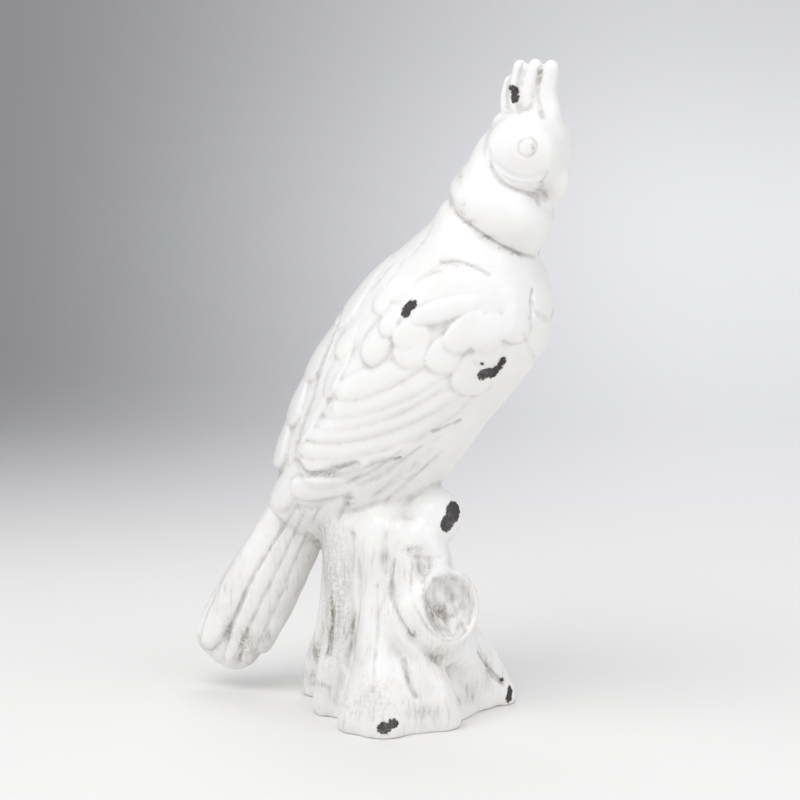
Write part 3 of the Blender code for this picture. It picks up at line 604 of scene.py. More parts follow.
# Wing coverts, lowest row first, as: root along, root across, tip along, tip across, half width,
# and lift as a share of the feathers' lift.
coverts = (
    (0.0070, -0.0160, -0.0185, -0.0140, 0.0076, 1.0),
    (0.0160, 0.0008, -0.0074, 0.0033, 0.0082, 1.0),
    (0.0220, 0.0167, -0.0005, 0.0178, 0.0079, 1.0),
    (0.0210, 0.0303, -0.0047, 0.0347, 0.0080, 0.9),
    (-0.0110, -0.0316, -0.0300, -0.0309, 0.0045, 0.9),
    (0.0160, -0.0270, 0.0030, -0.0250, 0.0050, 0.6),
    (0.0140, -0.0190, -0.0010, -0.0130, 0.0053, 1.2),
    (0.0210, 0.0000, -0.0010, -0.0050, 0.0070, 1.2),
    (0.0430, 0.0165, 0.0148, -0.0066, 0.0054, 1.1),
    (0.0380, 0.0200, 0.0131, 0.0183, 0.0071, 1.3),
    (0.0300, 0.0340, 0.0137, 0.0329, 0.0054, 0.9),
    (0.0410, 0.0275, 0.0198, 0.0290, 0.0075, 1.3),
    (0.0480, 0.0300, 0.0310, 0.0406, 0.0053, 1.1),
)

# Feathers down the middle of the back, as: start along, end along, half width, lift.
backFeathers = (
    (-0.0690, -0.1085, 0.0215, 0.0066),
    (-0.0460, -0.0845, 0.0262, 0.0048),
    (-0.0120, -0.0590, 0.0285, 0.0036),
    (0.0240, -0.0280, 0.0260, 0.0028),
)

# Tail feathers of one side, top to bottom, as: across at the root, halfway and at the tip,
# share of the tail's length, half width.
tailFeathers = (
    (-0.0180, -0.0187, -0.0135, 0.972, 0.0076),
    (-0.0078, -0.0060, 0.0015, 0.965, 0.0050),
    (-0.0014, 0.0015, 0.0084, 0.915, 0.0046),
    (0.0044, 0.0064, 0.0118, 0.820, 0.0040),
)


def addWing(bm, skin, side):
    chart = sideChart(side)
    for root, middle, tip, halfWidth in flightFeathers:
        addFeather(bm, skin, chart, root, middle, tip, halfWidth, tilt=bird["featherLift"] * -0.30)
    for rootAlong, rootAcross, along, across, halfWidth, lift in coverts:
        root, tip = Vector((rootAlong, rootAcross)), Vector((along, across))
        addFeather(bm, skin, chart, root, (root + tip) / 2, tip, halfWidth, bird["featherLift"] * lift)


def addBack(bm, skin):
    for start, end, halfWidth, lift in backFeathers:
        middle = (start + end) / 2
        addFeather(bm, skin, backChart, (start, 0.0), (middle, 0.0), (end, 0.0), halfWidth, lift)


def addTailFeathers(bm, skin, tailSkin, side):
    chart = sideChart(side)
    for root, middle, tip, share, halfWidth in tailFeathers:
        start = bird["tailRoot"] + 0.012
        end = bird["tailRoot"] - bird["tailLength"] * share
        path = (start, root), ((start + end) / 2, middle), (end, tip)
        addFeather(bm, tailSkin, chart, *path, halfWidth, bird["tailLift"])
    # covert over the tail's root, and the roll of down under the wing tip
    addFeather(bm, skin, chart, (-0.094, -0.0185), (-0.109, -0.0193), (-0.1245, -0.0212), 0.0074, 0.0030)
    addFeather(bm, skin, chart, (-0.078, 0.0125), (-0.0935, -0.0032), (-0.1045, -0.0160), 0.0066, 0.0060)


def addCrest(bm):
    # Raised crest feathers, back to front, as: root forward, tip forward, bow, share of the length,
    # root radius, tip radius.
    fingers = (
        (-0.0095, -0.0090, -0.0012, 0.64, 0.0045, 0.0034),
        (-0.0050, -0.0038, -0.0014, 0.95, 0.0048, 0.0038),
        (0.0022, 0.0042, -0.0016, 0.98, 0.0050, 0.0039),
        (0.0112, 0.0126, -0.0020, 0.97, 0.0072, 0.0040),
    )
    for root, tip, bow, share, rootRadius, tipRadius in fingers:
        top = bird["crestRoot"] + bird["crestLength"] * share
        middle = (root + tip) / 2 + bow
        slender = (rootRadius + tipRadius) / 2
        buried = headPoint(root * 0.8, bird["crestRoot"] - 0.006)
        halfway = headPoint(middle, (bird["crestRoot"] + top) / 2)
        addLimb(bm, [(buried, rootRadius), (headPoint(root, bird["crestRoot"]), rootRadius),
                      (halfway, slender), (headPoint(tip, top), tipRadius)])


def addEyes(bm):
    radius = bird["eyeRadius"]
    for side in (-1, 1):
        addBall(bm, headPoint(*bird["eyePlace"], side * bird["eyeOut"]), (radius, radius * 0.27, radius))


# Lines pressed into each side of the head, as: points forward of and above the middle of the skull, then
# half width and depth. They are the cheek, the jaw, and the fold where the head sits on the ruff.
headLines = (
    (((-0.0131, 0.0001), (-0.0119, -0.0037), (-0.0074, -0.0062), (-0.0022, -0.0095),
      (0.0045, -0.0120), (0.0104, -0.0115), (0.0157, -0.0089)), 0.0026, 0.0005),
    (((-0.0076, -0.0114), (-0.0016, -0.0152), (0.0053, -0.0177), (0.0092, -0.0190)), 0.0020, 0.0003),
    (((-0.0123, -0.0078), (-0.0076, -0.0123), (-0.0029, -0.0162), (0.0024, -0.0188),
      (0.0064, -0.0208), (0.0093, -0.0260)), 0.0024, 0.0008),
)

# Lines pressed into each side of the body, as: chart points, half width, depth.
sideLines = (
    # shoulder crease, the front edge of the wing and the step on the chest
    (((0.0450, -0.0119), (0.0516, -0.0031), (0.0541, 0.0074), (0.0545, 0.0127)), 0.0016, 0.0010),
    (((0.0550, 0.0315), (0.0468, 0.0377), (0.0442, 0.0391)), 0.0020, 0.0010),
    # down below the wing
    (((-0.0618, 0.0152), (-0.0562, 0.0198), (-0.0522, 0.0245)), 0.0014, 0.0008),
    (((-0.0313, 0.0310), (-0.0266, 0.0351), (-0.0205, 0.0382)), 0.0014, 0.0008),
)

# Furrows of the stump, as: rows of the angle round it in degrees and the share of its height, then
# half width and depth.
stumpLines = (
    # crease between the front column and the fold round the knot
    (((13, 0.70), (15, 0.64), (19, 0.545), (26, 0.46), (36, 0.39), (48, 0.335)), 0.0044, 0.0014),
    # cracks left of the front column
    (((-28, 0.93), (-30, 0.70), (-27, 0.50), (-23, 0.41), (-29, 0.30), (-16, 0.19)), 0.0038, 0.0009),
    (((-49, 0.62), (-43, 0.53), (-41, 0.42), (-40, 0.32)), 0.0022, 0.0016),
    # front column, the gap between the toes, under the stub and over the right toe
    (((0.5, 0.70), (3, 0.54), (3.5, 0.40), (4.5, 0.22)), 0.0022, 0.0006),
    (((22, 0.345), (25, 0.26), (29, 0.185)), 0.0026, 0.0014),
    (((24, 0.860), (38, 0.835), (54, 0.83)), 0.0016, 0.0004),
    (((110, 0.32), (109, 0.24), (113, 0.165), (116, 0.12)), 0.0020, 0.0012),
    # far side
    (((150, 0.90), (152, 0.60), (147, 0.30)), 0.0028, 0.0014),
    (((185, 0.85), (181, 0.55), (186, 0.25)), 0.0026, 0.0014),
    (((222, 0.90), (226, 0.55), (219, 0.22)), 0.0028, 0.0014),
    (((262, 0.80), (258, 0.50), (262, 0.20)), 0.0022, 0.0010),
)


def stumpChart(angle, share):
    # Looks at the stump from outside: chart points are an angle in degrees and a share of its height.
    out = towards(math.radians(angle))
    return out * far + stumpPoint(0.0, 0.0, share), -out


def eyeRing():
    # chart points of the groove round the eye
    middle = Vector(bird["eyePlace"])
    turns = [math.radians(angle) for angle in range(0, 361, 24)]
    return [middle + Vector((math.cos(turn), math.sin(turn))) * bird["eyeRadius"] * 1.12 for turn in turns]


def distanceToPath(points, path):
    nearest = np.full(len(points), np.inf)
    for start, end in zip(path, path[1:]):
        run = end - start
        share = np.clip((points - start) @ run / max(run @ run, 1e-12), 0.0, 1.0)
        nearest = np.minimum(nearest, np.linalg.norm(points - start - share[:, None] * run, axis=1))
    return nearest


def meshArrays(mesh):
    count = len(mesh.vertices)
    points = np.zeros(count * 3)
    mesh.vertices.foreach_get("co", points)
    normals = np.zeros(count * 3)
    mesh.vertex_normals.foreach_get("vector", normals)
    edges = np.zeros(len(mesh.edges) * 2, dtype=np.int64)
    mesh.edges.foreach_get("vertices", edges)
    edges = edges.reshape(-1, 2)
    counts = np.maximum(np.bincount(edges.ravel(), minlength=count), 1)
    return points.reshape(-1, 3), normals.reshape(-1, 3), edges, counts


def neighbourMean(values, edges, counts):
    total = np.zeros_like(values)
    for axis in range(values.shape[1]):
        total[:, axis] = (np.bincount(edges[:, 0], values[edges[:, 1], axis], len(values))
                          + np.bincount(edges[:, 1], values[edges[:, 0], axis], len(values)))
    return total / counts[:, None]


def pressLines(obj, skin, lines):
    # presses soft grooves along lines cast onto the skin, and returns how strongly each point is marked;
    # a line with side -1 is repeated on the far side
    points, normals, _, _ = meshArrays(obj.data)
    depths, marks = np.zeros(len(points)), np.zeros(len(points))
    for side, chart, path, halfWidth, depth in lines:
        landed = np.array([land(skin, chart, *place)[0] for place in smoothRows(path)])
        if side < 0.0:
            landed = landed[landed[:, 1] < -0.001] * (1.0, -1.0, 1.0)
        if len(landed) < 2:
            continue
        near = np.all(np.abs(points - landed.mean(axis=0)) < np.ptp(landed, axis=0) + 3 * halfWidth, axis=1)
        away = distanceToPath(points[near], landed) / halfWidth
        depths[near] = np.maximum(depths[near], depth * (1.0 - np.minimum(away, 1.0) ** 2) ** 2)
        marks[near] = np.maximum(marks[near], np.clip(1.0 - away / 1.5, 0.0, 1.0) * depth / 0.0012)
    obj.data.vertices.foreach_set("co", (points - normals * depths[:, None]).ravel())
    obj.data.update()
    return marks


def clayLines():
    lines = [(1, stumpChart, *line) for line in stumpLines]
    for side in (-1, 1):
        lines += [(1, sideChart(side), *line) for line in sideLines]
        lines += [(1, headChart(side), *line) for line in headLines]
        lines.append((1, headChart(side), eyeRing(), bird["eyeRadius"] * 0.26, bird["eyeRadius"] * 0.12))
    return lines


def scratchLines():
    lines = [(1, shotChart, *line) for line in birdScratches + stumpScratches]
    return lines + [(-1, shotChart, *line) for line in birdScratches]


def carveKnot(obj):
    dish = bmesh.new()
    centre, out, _, _ = knotFrame()
    radius = bird["knotRadius"] * 1.42
    addBall(dish, centre + out * radius * 0.72, (radius, radius, radius))
    cut(obj, objectFrom(dish, "knot_dish"))


def cut(obj, cutter):
    boolean = obj.modifiers.new("Cut", "BOOLEAN")
    boolean.operation = "DIFFERENCE"
    boolean.solver = "EXACT"
    boolean.object = cutter
    bake(obj)
    bpy.data.objects.remove(cutter)


def cutFlatBase(obj):
    bm = bmesh.new()
    bm.from_mesh(obj.data)
    plane = bmesh.ops.bisect_plane(
        bm, geom=bm.verts[:] + bm.edges[:] + bm.faces[:], dist=1e-6,
        plane_co=(0.0, 0.0, 0.0), plane_no=(0.0, 0.0, -1.0), clear_outer=True)
    rim = [item for item in plane["geom_cut"] if isinstance(item, bmesh.types.BMEdge)]
    bmesh.ops.edgeloop_fill(bm, edges=rim)
    bmesh.ops.triangulate(bm, faces=[face for face in bm.faces if len(face.verts) > 4])
    bm.to_mesh(obj.data)
    bm.free()


def hollowOut(obj):
    cavity = bmesh.new()
    addTrunk(cavity, bird["wall"])
    addRuff(cavity, bird["wall"])
    stumpLoft(cavity, bird["wall"], bird["wall"])
    inner = bird["skullRadius"] - bird["wall"]
    addBall(cavity, headPoint(0.0, 0.0), (inner, inner, inner))
    core = objectFrom(cavity, "cavity")
    fuse(core, bird["cavityVoxel"], 4)
    thinOut(core, bird["cavityTriangles"])
    cut(obj, core)
    hole = bmesh.new()
    bmesh.ops.create_cone(
        hole, cap_ends=True, segments=32, radius1=bird["pourHoleRadius"], radius2=bird["pourHoleRadius"],
        depth=0.05, matrix=Matrix.Translation((0.0, 0.0, 0.012)))
    cut(obj, objectFrom(hole, "pour_hole"))


def buildCore():
    bm = bmesh.new()
    addTrunk(bm)
    addThighs(bm)
    addRuff(bm)
    tailLoft(bm)
    stumpLoft(bm)
    addRoots(bm)
    addKnot(bm)
    addStub(bm)
    addHead(bm)
    return bm


def skinOf(obj):
    bm = bmesh.new()
    bm.from_mesh(obj.data)
    skin = BVHTree.FromBMesh(bm)
    bm.free()
    return skin


# The way the bird is seen: degrees round it and above it, metres from it, and metres across the picture.
shot = {
    "azimuth": 22.0,
    "elevation": 12.0,
    "distance": 2.475,
    "span": 0.40887,
    "target": (-0.00184, -0.00074, 0.16286),
    "pixels": 800,
}


def facing(azimuth, elevation):
    a, e = math.radians(azimuth), math.radians(elevation)
    return Vector((math.sin(a) * math.cos(e), -math.cos(a) * math.cos(e), math.sin(e)))


def shotAxes():
    away = facing(shot["azimuth"], shot["elevation"])
    right = facing(shot["azimuth"] + 90.0, 0.0)
    return right, away.cross(right), away


def shotChart(column, row):
    # the line of sight through one pixel of the picture
    right, up, away = shotAxes()
    step = shot["span"] / shot["pixels"]
    middle = shot["pixels"] / 2
    eye = Vector(shot["target"]) + away * shot["distance"]
    aim = Vector(shot["target"]) + right * (column - middle) * step + up * (middle - row) * step
    sight = (aim - eye).normalized()
    return eye + sight * (shot["distance"] - far), sight


# Fine lines scratched in the clay, as: path in the picture, half width, depth. Lines on the bird are
# repeated on its far side.
birdScratches = (
    # groove between the wing and the back, and the one under the wing tip
    (((346, 300), (334, 332), (322, 362), (312, 396), (303, 425), (295, 450)), 0.0019, 0.0013),
    (((298, 462), (306, 471), (322, 473), (340, 468), (356, 463)), 0.0022, 0.0014),
    (((367, 467), (384, 462), (400, 457)), 0.0012, 0.0008),
    (((433, 431), (447, 425), (460, 420)), 0.0011, 0.0006),
    # rows of down under the wing and on the thigh
    (((430, 452), (400, 476), (372, 497)), 0.0014, 0.0005),
    (((442, 452), (412, 478), (384, 502)), 0.0014, 0.0005),
    (((420, 447), (392, 468), (360, 486)), 0.0014, 0.0004),
    (((400, 452), (374, 470), (346, 483)), 0.0014, 0.0004),
    (((352, 497), (344, 508), (338, 520)), 0.0015, 0.0006),
    # neck and shoulder
    (((394, 262), (384, 274), (372, 288)), 0.0015, 0.0005),
    (((404, 258), (396, 272), (386, 284)), 0.0014, 0.0004),
    (((432, 226), (424, 240), (414, 252)), 0.0014, 0.0004),
    (((416, 282), (426, 276), (442, 270)), 0.0011, 0.0004),
    # breast
    (((530, 300), (538, 314), (548, 320)), 0.0014, 0.0006),
    (((524, 334), (530, 350), (536, 360)), 0.0014, 0.0005),
    # fold where the head sits on the ruff, the jaw, and the ruff's lower edge
    (((490, 162), (496, 176), (507, 186), (523, 192), (536, 195)), 0.0012, 0.0010),
    (((503, 176), (513, 182), (529, 184)), 0.0012, 0.0004),
    (((451, 197), (455, 211), (464, 221), (482, 234), (500, 245), (520, 254), (535, 257)), 0.0012, 0.0012),
    # tail feathers where they leave the body
    (((297, 505), (286, 524), (272, 546), (258, 570)), 0.0009, 0.0005),
    (((307, 508), (296, 530), (284, 556), (272, 580)), 0.0009, 0.0005),
    (((319, 507), (310, 528), (298, 554), (286, 582)), 0.0009, 0.0005),
    (((262, 558), (246, 590), (233, 620), (222, 641)), 0.0009, 0.0005),
    (((272, 580), (258, 608), (245, 636), (234, 660)), 0.0010, 0.0006),
    (((286, 582), (274, 612), (262, 636), (254, 656)), 0.0009, 0.0005),
    (((222, 641), (212, 650), (203, 646), (199, 636)), 0.0009, 0.0006),
    # between the crest feathers
    (((541, 72), (537, 90), (538, 104), (543, 117)), 0.0018, 0.0013),
    (((523, 64), (519, 80), (517, 100), (520, 112)), 0.0016, 0.0009),
    (((509, 78), (507, 95), (508, 108)), 0.0014, 0.0008),
    # corner of the mouth
    (((537, 190), (542, 192), (546, 196)), 0.0010, 0.0007),
    (((541, 183), (545, 177), (549, 171)), 0.0010, 0.0006),
)

stumpScratches = (
    (((331, 596), (333, 622), (330, 646), (325, 658)), 0.0010, 0.0012),
    (((356, 612), (352, 626), (346, 640)), 0.0010, 0.0006),
    (((413, 566), (411, 590), (417, 612)), 0.0009, 0.0004),
    (((418, 612), (428, 628), (444, 640), (456, 640), (466, 630)), 0.0012, 0.0007),
    (((426, 598), (432, 606), (440, 612), (447, 622)), 0.0020, 0.0012),
    (((434, 580), (446, 586), (452, 600)), 0.0022, 0.0008),
    (((394, 560), (392, 590), (398, 614), (412, 636)), 0.0012, 0.0008),
    (((306, 686), (318, 684), (330, 688)), 0.0014, 0.0007),
    (((478, 652), (488, 668), (503, 684)), 0.0013, 0.0010),
    (((404, 662), (408, 680), (416, 698)), 0.0011, 0.0004),
)


# Hand-modelled unevenness: slight on the bird, drawn out downwards on the bark, and lumpy in the knot.
# Each is a fineness and a height.
unevenness = {
    "skin": (70.0, 0.00018),
    "bark": ((130.0, 0.00050), (320.0, 0.00022)),
    "drawnOut": 0.25,
    "knot": (240.0, 520.0, 0.0016),
}


def roughen(obj):
    fine, rise = unevenness["skin"]
    (coarseBark, coarseRise), (fineBark, fineRise) = unevenness["bark"]
    lump, grit, lumpRise = unevenness["knot"]
    mesh = obj.data
    centre, out, _, _ = knotFrame()
    points, normals, _, _ = meshArrays(mesh)
    steps = []
    for place in map(Vector, points):
        bark = max(0.0, min(1.0, (bird["perchHeight"] - place.z) / 0.012))
        drawn = Vector((place.x, place.y, place.z * unevenness["drawnOut"]))
        step = noise.noise(place * fine) * rise
        grain = noise.noise(drawn * coarseBark) * coarseRise + noise.noise(drawn * fineBark) * fineRise
        step += bark * grain
        inKnot = max(0.0, 1.0 - (place - centre + out * 0.004).length / (bird["knotRadius"] * 0.9))
        step += inKnot * (noise.noise(place * lump) + 0.5 * noise.noise(place * grit)) * lumpRise
        steps.append(step)
    mesh.vertices.foreach_set("co", (points + normals * np.array(steps)[:, None]).ravel())
    mesh.update()


# Chips in the glaze, as: column and row in the picture, half length and half width, and the way each runs
# in the picture, in degrees from level.
chips = {
    "depth": 0.0007,
    "slope": 0.0007,
    "spots": (
        (515, 95, 0.0042, 0.0020, 80.0),
        (511, 88, 0.0020, 0.0013, 0.0),
        (406, 311, 0.0034, 0.0028, 75.0),
        (411, 305, 0.0032, 0.0026, 20.0),
        (486, 374, 0.0046, 0.0031, -4.0),
        (494, 372, 0.0036, 0.0027, 35.0),
        (501, 364, 0.0044, 0.0019, 80.0),
        (482, 364, 0.0010, 0.0008, 0.0),
        (454, 512, 0.0058, 0.0054, 40.0),
        (448, 523, 0.0046, 0.0044, 80.0),
        (384, 728, 0.0036, 0.0031, 15.0),
        (393, 724, 0.0030, 0.0024, 10.0),
        (510, 694, 0.0046, 0.0020, 75.0),
        (502, 680, 0.0014, 0.0010, 80.0),
    ),
}

# Spots of brown wash, partly painted shade in hollows and down the stump's darker left side, as: column and
# row in the picture, half width and half height in pixels, and strength.
washAndShadeSpots = (
    (395, 478, 46, 22, 0.16),
    (350, 512, 18, 10, 0.22),
    (533, 147, 1.4, 3.2, 1.0),
    (460, 176, 2, 7, 0.7),
    (463, 208, 3, 6, 0.7),
    (541, 186, 3, 5, 0.7),
    (470, 222, 6, 3, 0.6),
    (486, 237, 8, 2, 0.6),
    (504, 248, 8, 2, 0.6),
    (516, 254, 6, 2, 0.7),
    (459, 265, 16, 1.6, 0.6),
    (540, 75, 3, 8, 0.7),
    (296, 461, 4, 3, 0.8),
    (328, 474, 9, 4, 0.7),
    (348, 500, 5, 7, 0.9),
    (344, 466, 14, 3, 0.5),
    (281, 473, 3, 3, 0.8),
    (299, 507, 4, 3, 0.6),
    (312, 508, 12, 2, 0.5),
    (229, 632, 4, 12, 0.8),
    (245, 640, 6, 14, 0.9),
    (268, 637, 3, 6, 0.7),
    (202, 648, 7, 4, 0.5),
    (326, 560, 8, 40, 0.50),
    (332, 626, 2, 30, 0.75),
    (334, 596, 14, 64, 0.60),
    (349, 560, 9, 36, 0.22),
    (352, 628, 4, 17, 0.55),
    (318, 652, 10, 12, 0.9),
    (312, 676, 12, 6, 0.6),
    (412, 549, 8, 3, 0.9),
    (428, 566, 6, 6, 0.6),
    (424, 590, 3, 12, 0.7),
    (436, 612, 11, 7, 1.1),
    (428, 606, 4, 4, 1.0),
    (446, 578, 12, 7, 0.40),
    (394, 590, 6, 40, 0.20),
    (412, 634, 5, 5, 0.8),
    (440, 655, 14, 6, 0.3),
    (410, 676, 3, 14, 0.35),
    (424, 712, 16, 5, 0.6),
    (372, 700, 22, 18, 0.25),
    (460, 700, 16, 5, 0.5),
    (488, 668, 4, 12, 0.5),
    (346, 700, 8, 10, 0.35),
)


def storeNumbers(mesh, name, values):
    layer = mesh.attributes.new(name, "FLOAT", "POINT")
    layer.data.foreach_set("value", np.asarray(values, dtype=np.float32))


def chipReach(points, skin):
    # distance from the nearest chip's outline, less than zero inside it
    right, up, _ = shotAxes()
    reach = np.full(len(points), 1.0)
    for column, row, halfLength, halfWidth, angle in chips["spots"]:
        centre, normal = land(skin, shotChart, column, row)
        run = right * math.cos(math.radians(angle)) + up * math.sin(math.radians(angle))
        run = (run - normal * run.dot(normal)).normalized()
        offset = points - np.array(centre)
        along = np.clip(offset @ np.array(run), halfWidth - halfLength, halfLength - halfWidth)
        fromRun = np.linalg.norm(offset - along[:, None] * np.array(run), axis=1)
        reach = np.minimum(reach, fromRun - halfWidth)
    return reach


def washAndShadeAmount(points, skin):
    # how much of the painted wash and painted shade lies on each point
    right, up, away = shotAxes()
    step = shot["span"] / shot["pixels"]
    amount = np.zeros(len(points))
    for column, row, halfWidth, halfHeight, strength in washAndShadeSpots:
        centre, _ = land(skin, shotChart, column, row)
        offset = points - np.array(centre)
        across = offset @ np.array(right) / (halfWidth * step)
        rise = offset @ np.array(up) / (halfHeight * step)
        deep = offset @ np.array(away) / (max(halfWidth, halfHeight) * step * 2.0)
        spot = np.exp(-(across ** 2 + rise ** 2 + deep ** 2) * 0.8) * strength
        amount = np.maximum(amount, spot)
    return amount


# How deep a crease is when the brown wash and painted shade fill it, after a few and after many rounds of
# smoothing.
creases = {
    "fineRounds": 4,
    "fineDepth": 0.00020,
    "broadRounds": 26,
    "broadDepth": 0.0011,
}


def finishSurface(obj, skin, marks):
    # knocks out the chips, and notes how deep each point lies in a crease for the wash and the painted shade
    # there
    points, normals, edges, counts = meshArrays(obj.data)
    reach = chipReach(points, skin)
    painted = washAndShadeAmount(points, skin)
    inside = np.clip(-reach / chips["slope"], 0.0, 1.0)
    points = points - normals * (inside * chips["depth"])[:, None]
    obj.data.vertices.foreach_set("co", points.ravel())
    obj.data.update()
    storeNumbers(obj.data, "chip", reach)
    soft = points.copy()
    depths = {}
    for step in range(1, creases["broadRounds"] + 1):
        soft = soft * 0.3 + neighbourMean(soft, edges, counts) * 0.7
        if step in (creases["fineRounds"], creases["broadRounds"]):
            depths[step] = np.einsum("ij,ij->i", soft - points, normals)
    fine = np.clip(depths[creases["fineRounds"]] / creases["fineDepth"], 0.0, 1.0)
    broad = np.clip(depths[creases["broadRounds"]] / creases["broadDepth"], 0.0, 1.0)
    fromKnot = np.linalg.norm(points - np.array(knotFrame()[0]), axis=1) / bird["knotRadius"]
    broad *= np.clip(fromKnot - 0.35, 0.15, 1.0)  # the dish of the knot keeps little of the wash and painted shade
    crease = np.maximum(np.maximum(fine, broad), marks)[:, None]
    for step in range(2):
        crease = crease * 0.5 + neighbourMean(crease, edges, counts) * 0.5
    storeNumbers(obj.data, "crease", crease[:, 0])
    storeNumbers(obj.data, "painted", painted)
    storeNumbers(obj.data, "height", points[:, 2])


def sculptBird():
    figurine = objectFrom(buildCore(), "cockatoo")
    fuse(figurine, bird["coreVoxel"], 2)
    softenStump(figurine, 12)
    bm = bmesh.new()
    bm.from_mesh(figurine.data)
    addWingPads(bm, skinOf(figurine))
    bm.to_mesh(figurine.data)
    bm.free()
    fuse(figurine, bird["coreVoxel"], 2)
    carveKnot(figurine)
    softenStump(figurine, 3)
    softenAt(figurine, bodyPoint(-0.128, 0.004), 0.026, 40)
    report("core")

    skin = skinOf(figurine)
    bm = bmesh.new()
    bm.from_mesh(figurine.data)
    addBack(bm, skin)
    tail = bmesh.new()
    tailLoft(tail)
    tailSkin = BVHTree.FromBMesh(tail)
    tail.free()
    for side in (-1, 1):
        addWing(bm, skin, side)
        addTailFeathers(bm, skin, tailSkin, side)
    addKnotLip(bm)
    addCrest(bm)
    addEyes(bm)
    bmesh.ops.recalc_face_normals(bm, faces=bm.faces)
    bm.to_mesh(figurine.data)
    bm.free()
    fuse(figurine, bird["surfaceVoxel"], 2)
    softenAt(figurine, headPoint(0.0150, bird["crestRoot"] + 0.003), 0.014, 40)
    for side in (-1, 1):
        softenAt(figurine, headPoint(-0.0130, 0.0060, side * 0.014), 0.016, 30)
    pressLines(figurine, skinOf(figurine), clayLines())
    report("feathers")
    cutFlatBase(figurine)
    hollowOut(figurine)
    report("hollow")
    thinOut(figurine, bird["surfaceTriangles"])
    report("thinned")
    roughen(figurine)
    skin = skinOf(figurine)
    marks = pressLines(figurine, skin, scratchLines())
    finishSurface(figurine, skin, marks)
    report("surface")
    return figurine


def moveToFrame(obj):
    # The modelling origin is under the stump; the frame's is under the middle of the box.
    corners = np.array([vert.co for vert in obj.data.vertices])
    middle = (corners.min(axis=0) + corners.max(axis=0)) / 2
    low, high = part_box("cockatoo_figurine")
    target = (Vector(low) + Vector(high)) / 2
    shift = Vector((target.x - middle[0], target.y - middle[1], low[2] - corners.min(axis=0)[2]))
    obj.data.transform(Matrix.Translation(shift))
    return shift


class Tone:
    # a shader socket that can be added, multiplied and so on
    def __init__(self, tree, socket):
        self.tree = tree
        self.socket = socket

    def sum(self, operation, *others, clamp=False):
        node = self.tree.nodes.new("ShaderNodeMath")
        node.operation = operation
        node.use_clamp = clamp
        for slot, value in zip(node.inputs, (self,) + others):
            if isinstance(value, Tone):
                self.tree.links.new(value.socket, slot)
            else:
                slot.default_value = value
        return Tone(self.tree, node.outputs[0])

    def __add__(self, other):
        return self.sum("ADD", other)

    def __radd__(self, other):
        return self.sum("ADD", other)

    def __sub__(self, other):
        return self.sum("SUBTRACT", other)

    def __rsub__(self, other):
        return self.sum("MULTIPLY_ADD", -1.0, other)

    def __mul__(self, other):
        return self.sum("MULTIPLY", other)

    def __rmul__(self, other):
        return self.sum("MULTIPLY", other)

    def clamped(self):
        return self.sum("ADD", 0.0, clamp=True)

    def between(self, low, high):
        # 0 at low, 1 at high, smooth in between
        node = self.tree.nodes.new("ShaderNodeMapRange")
        node.interpolation_type = "SMOOTHSTEP"
        self.tree.links.new(self.socket, node.inputs["Value"])
        node.inputs["From Min"].default_value = low
        node.inputs["From Max"].default_value = high
        return Tone(self.tree, node.outputs["Result"])


def addNode(tree, kind, output=0, settings=None, **inputs):
    # one method for any other node; inputs are sockets or values, with spaces in names as underscores
    node = tree.nodes.new(kind)
    for name, value in (settings or {}).items():
        setattr(node, name, value)
    for name, value in inputs.items():
        slot = node.inputs[name.replace("_", " ")]
        if isinstance(value, Tone):
            tree.links.new(value.socket, slot)
        else:
            slot.default_value = value
    return Tone(tree, node.outputs[output])


def mixColours(tree, factor, first, second):
    node = tree.nodes.new("ShaderNodeMix")
    node.data_type = "RGBA"
    for slot, value in ((0, factor), (6, first), (7, second)):
        if isinstance(value, Tone):
            tree.links.new(value.socket, node.inputs[slot])
        else:
            node.inputs[slot].default_value = value
    return Tone(tree, node.outputs[2])


glaze = {
    "white": (0.84, 0.832, 0.822, 1.0),
    "thin": (0.76, 0.745, 0.72, 1.0),
    # the brown of the wash, also used as painted shade in the creases and hollows
    "washAndShade": (0.20, 0.165, 0.125, 1.0),
    "chip": (0.040, 0.036, 0.036, 1.0),
    "chipWorn": (0.13, 0.12, 0.115, 1.0),
    "chipEdge": (0.16, 0.11, 0.08, 1.0),
    "roughness": 0.37,
    "chipRoughness": 0.7,
    "coat": 0.14,
    "coatRoughness": 0.18,
    "bump": 0.0003,
    # scale, detail and roughness of each pattern
    "noise": {
        "bark": (480.0, 4.0, 0.6),
        "down": (420.0, 3.0, 0.6),
        "cloud": (40.0, 3.0, 0.55),
        "ragged": (620.0, 4.0, 0.65),
    },
}


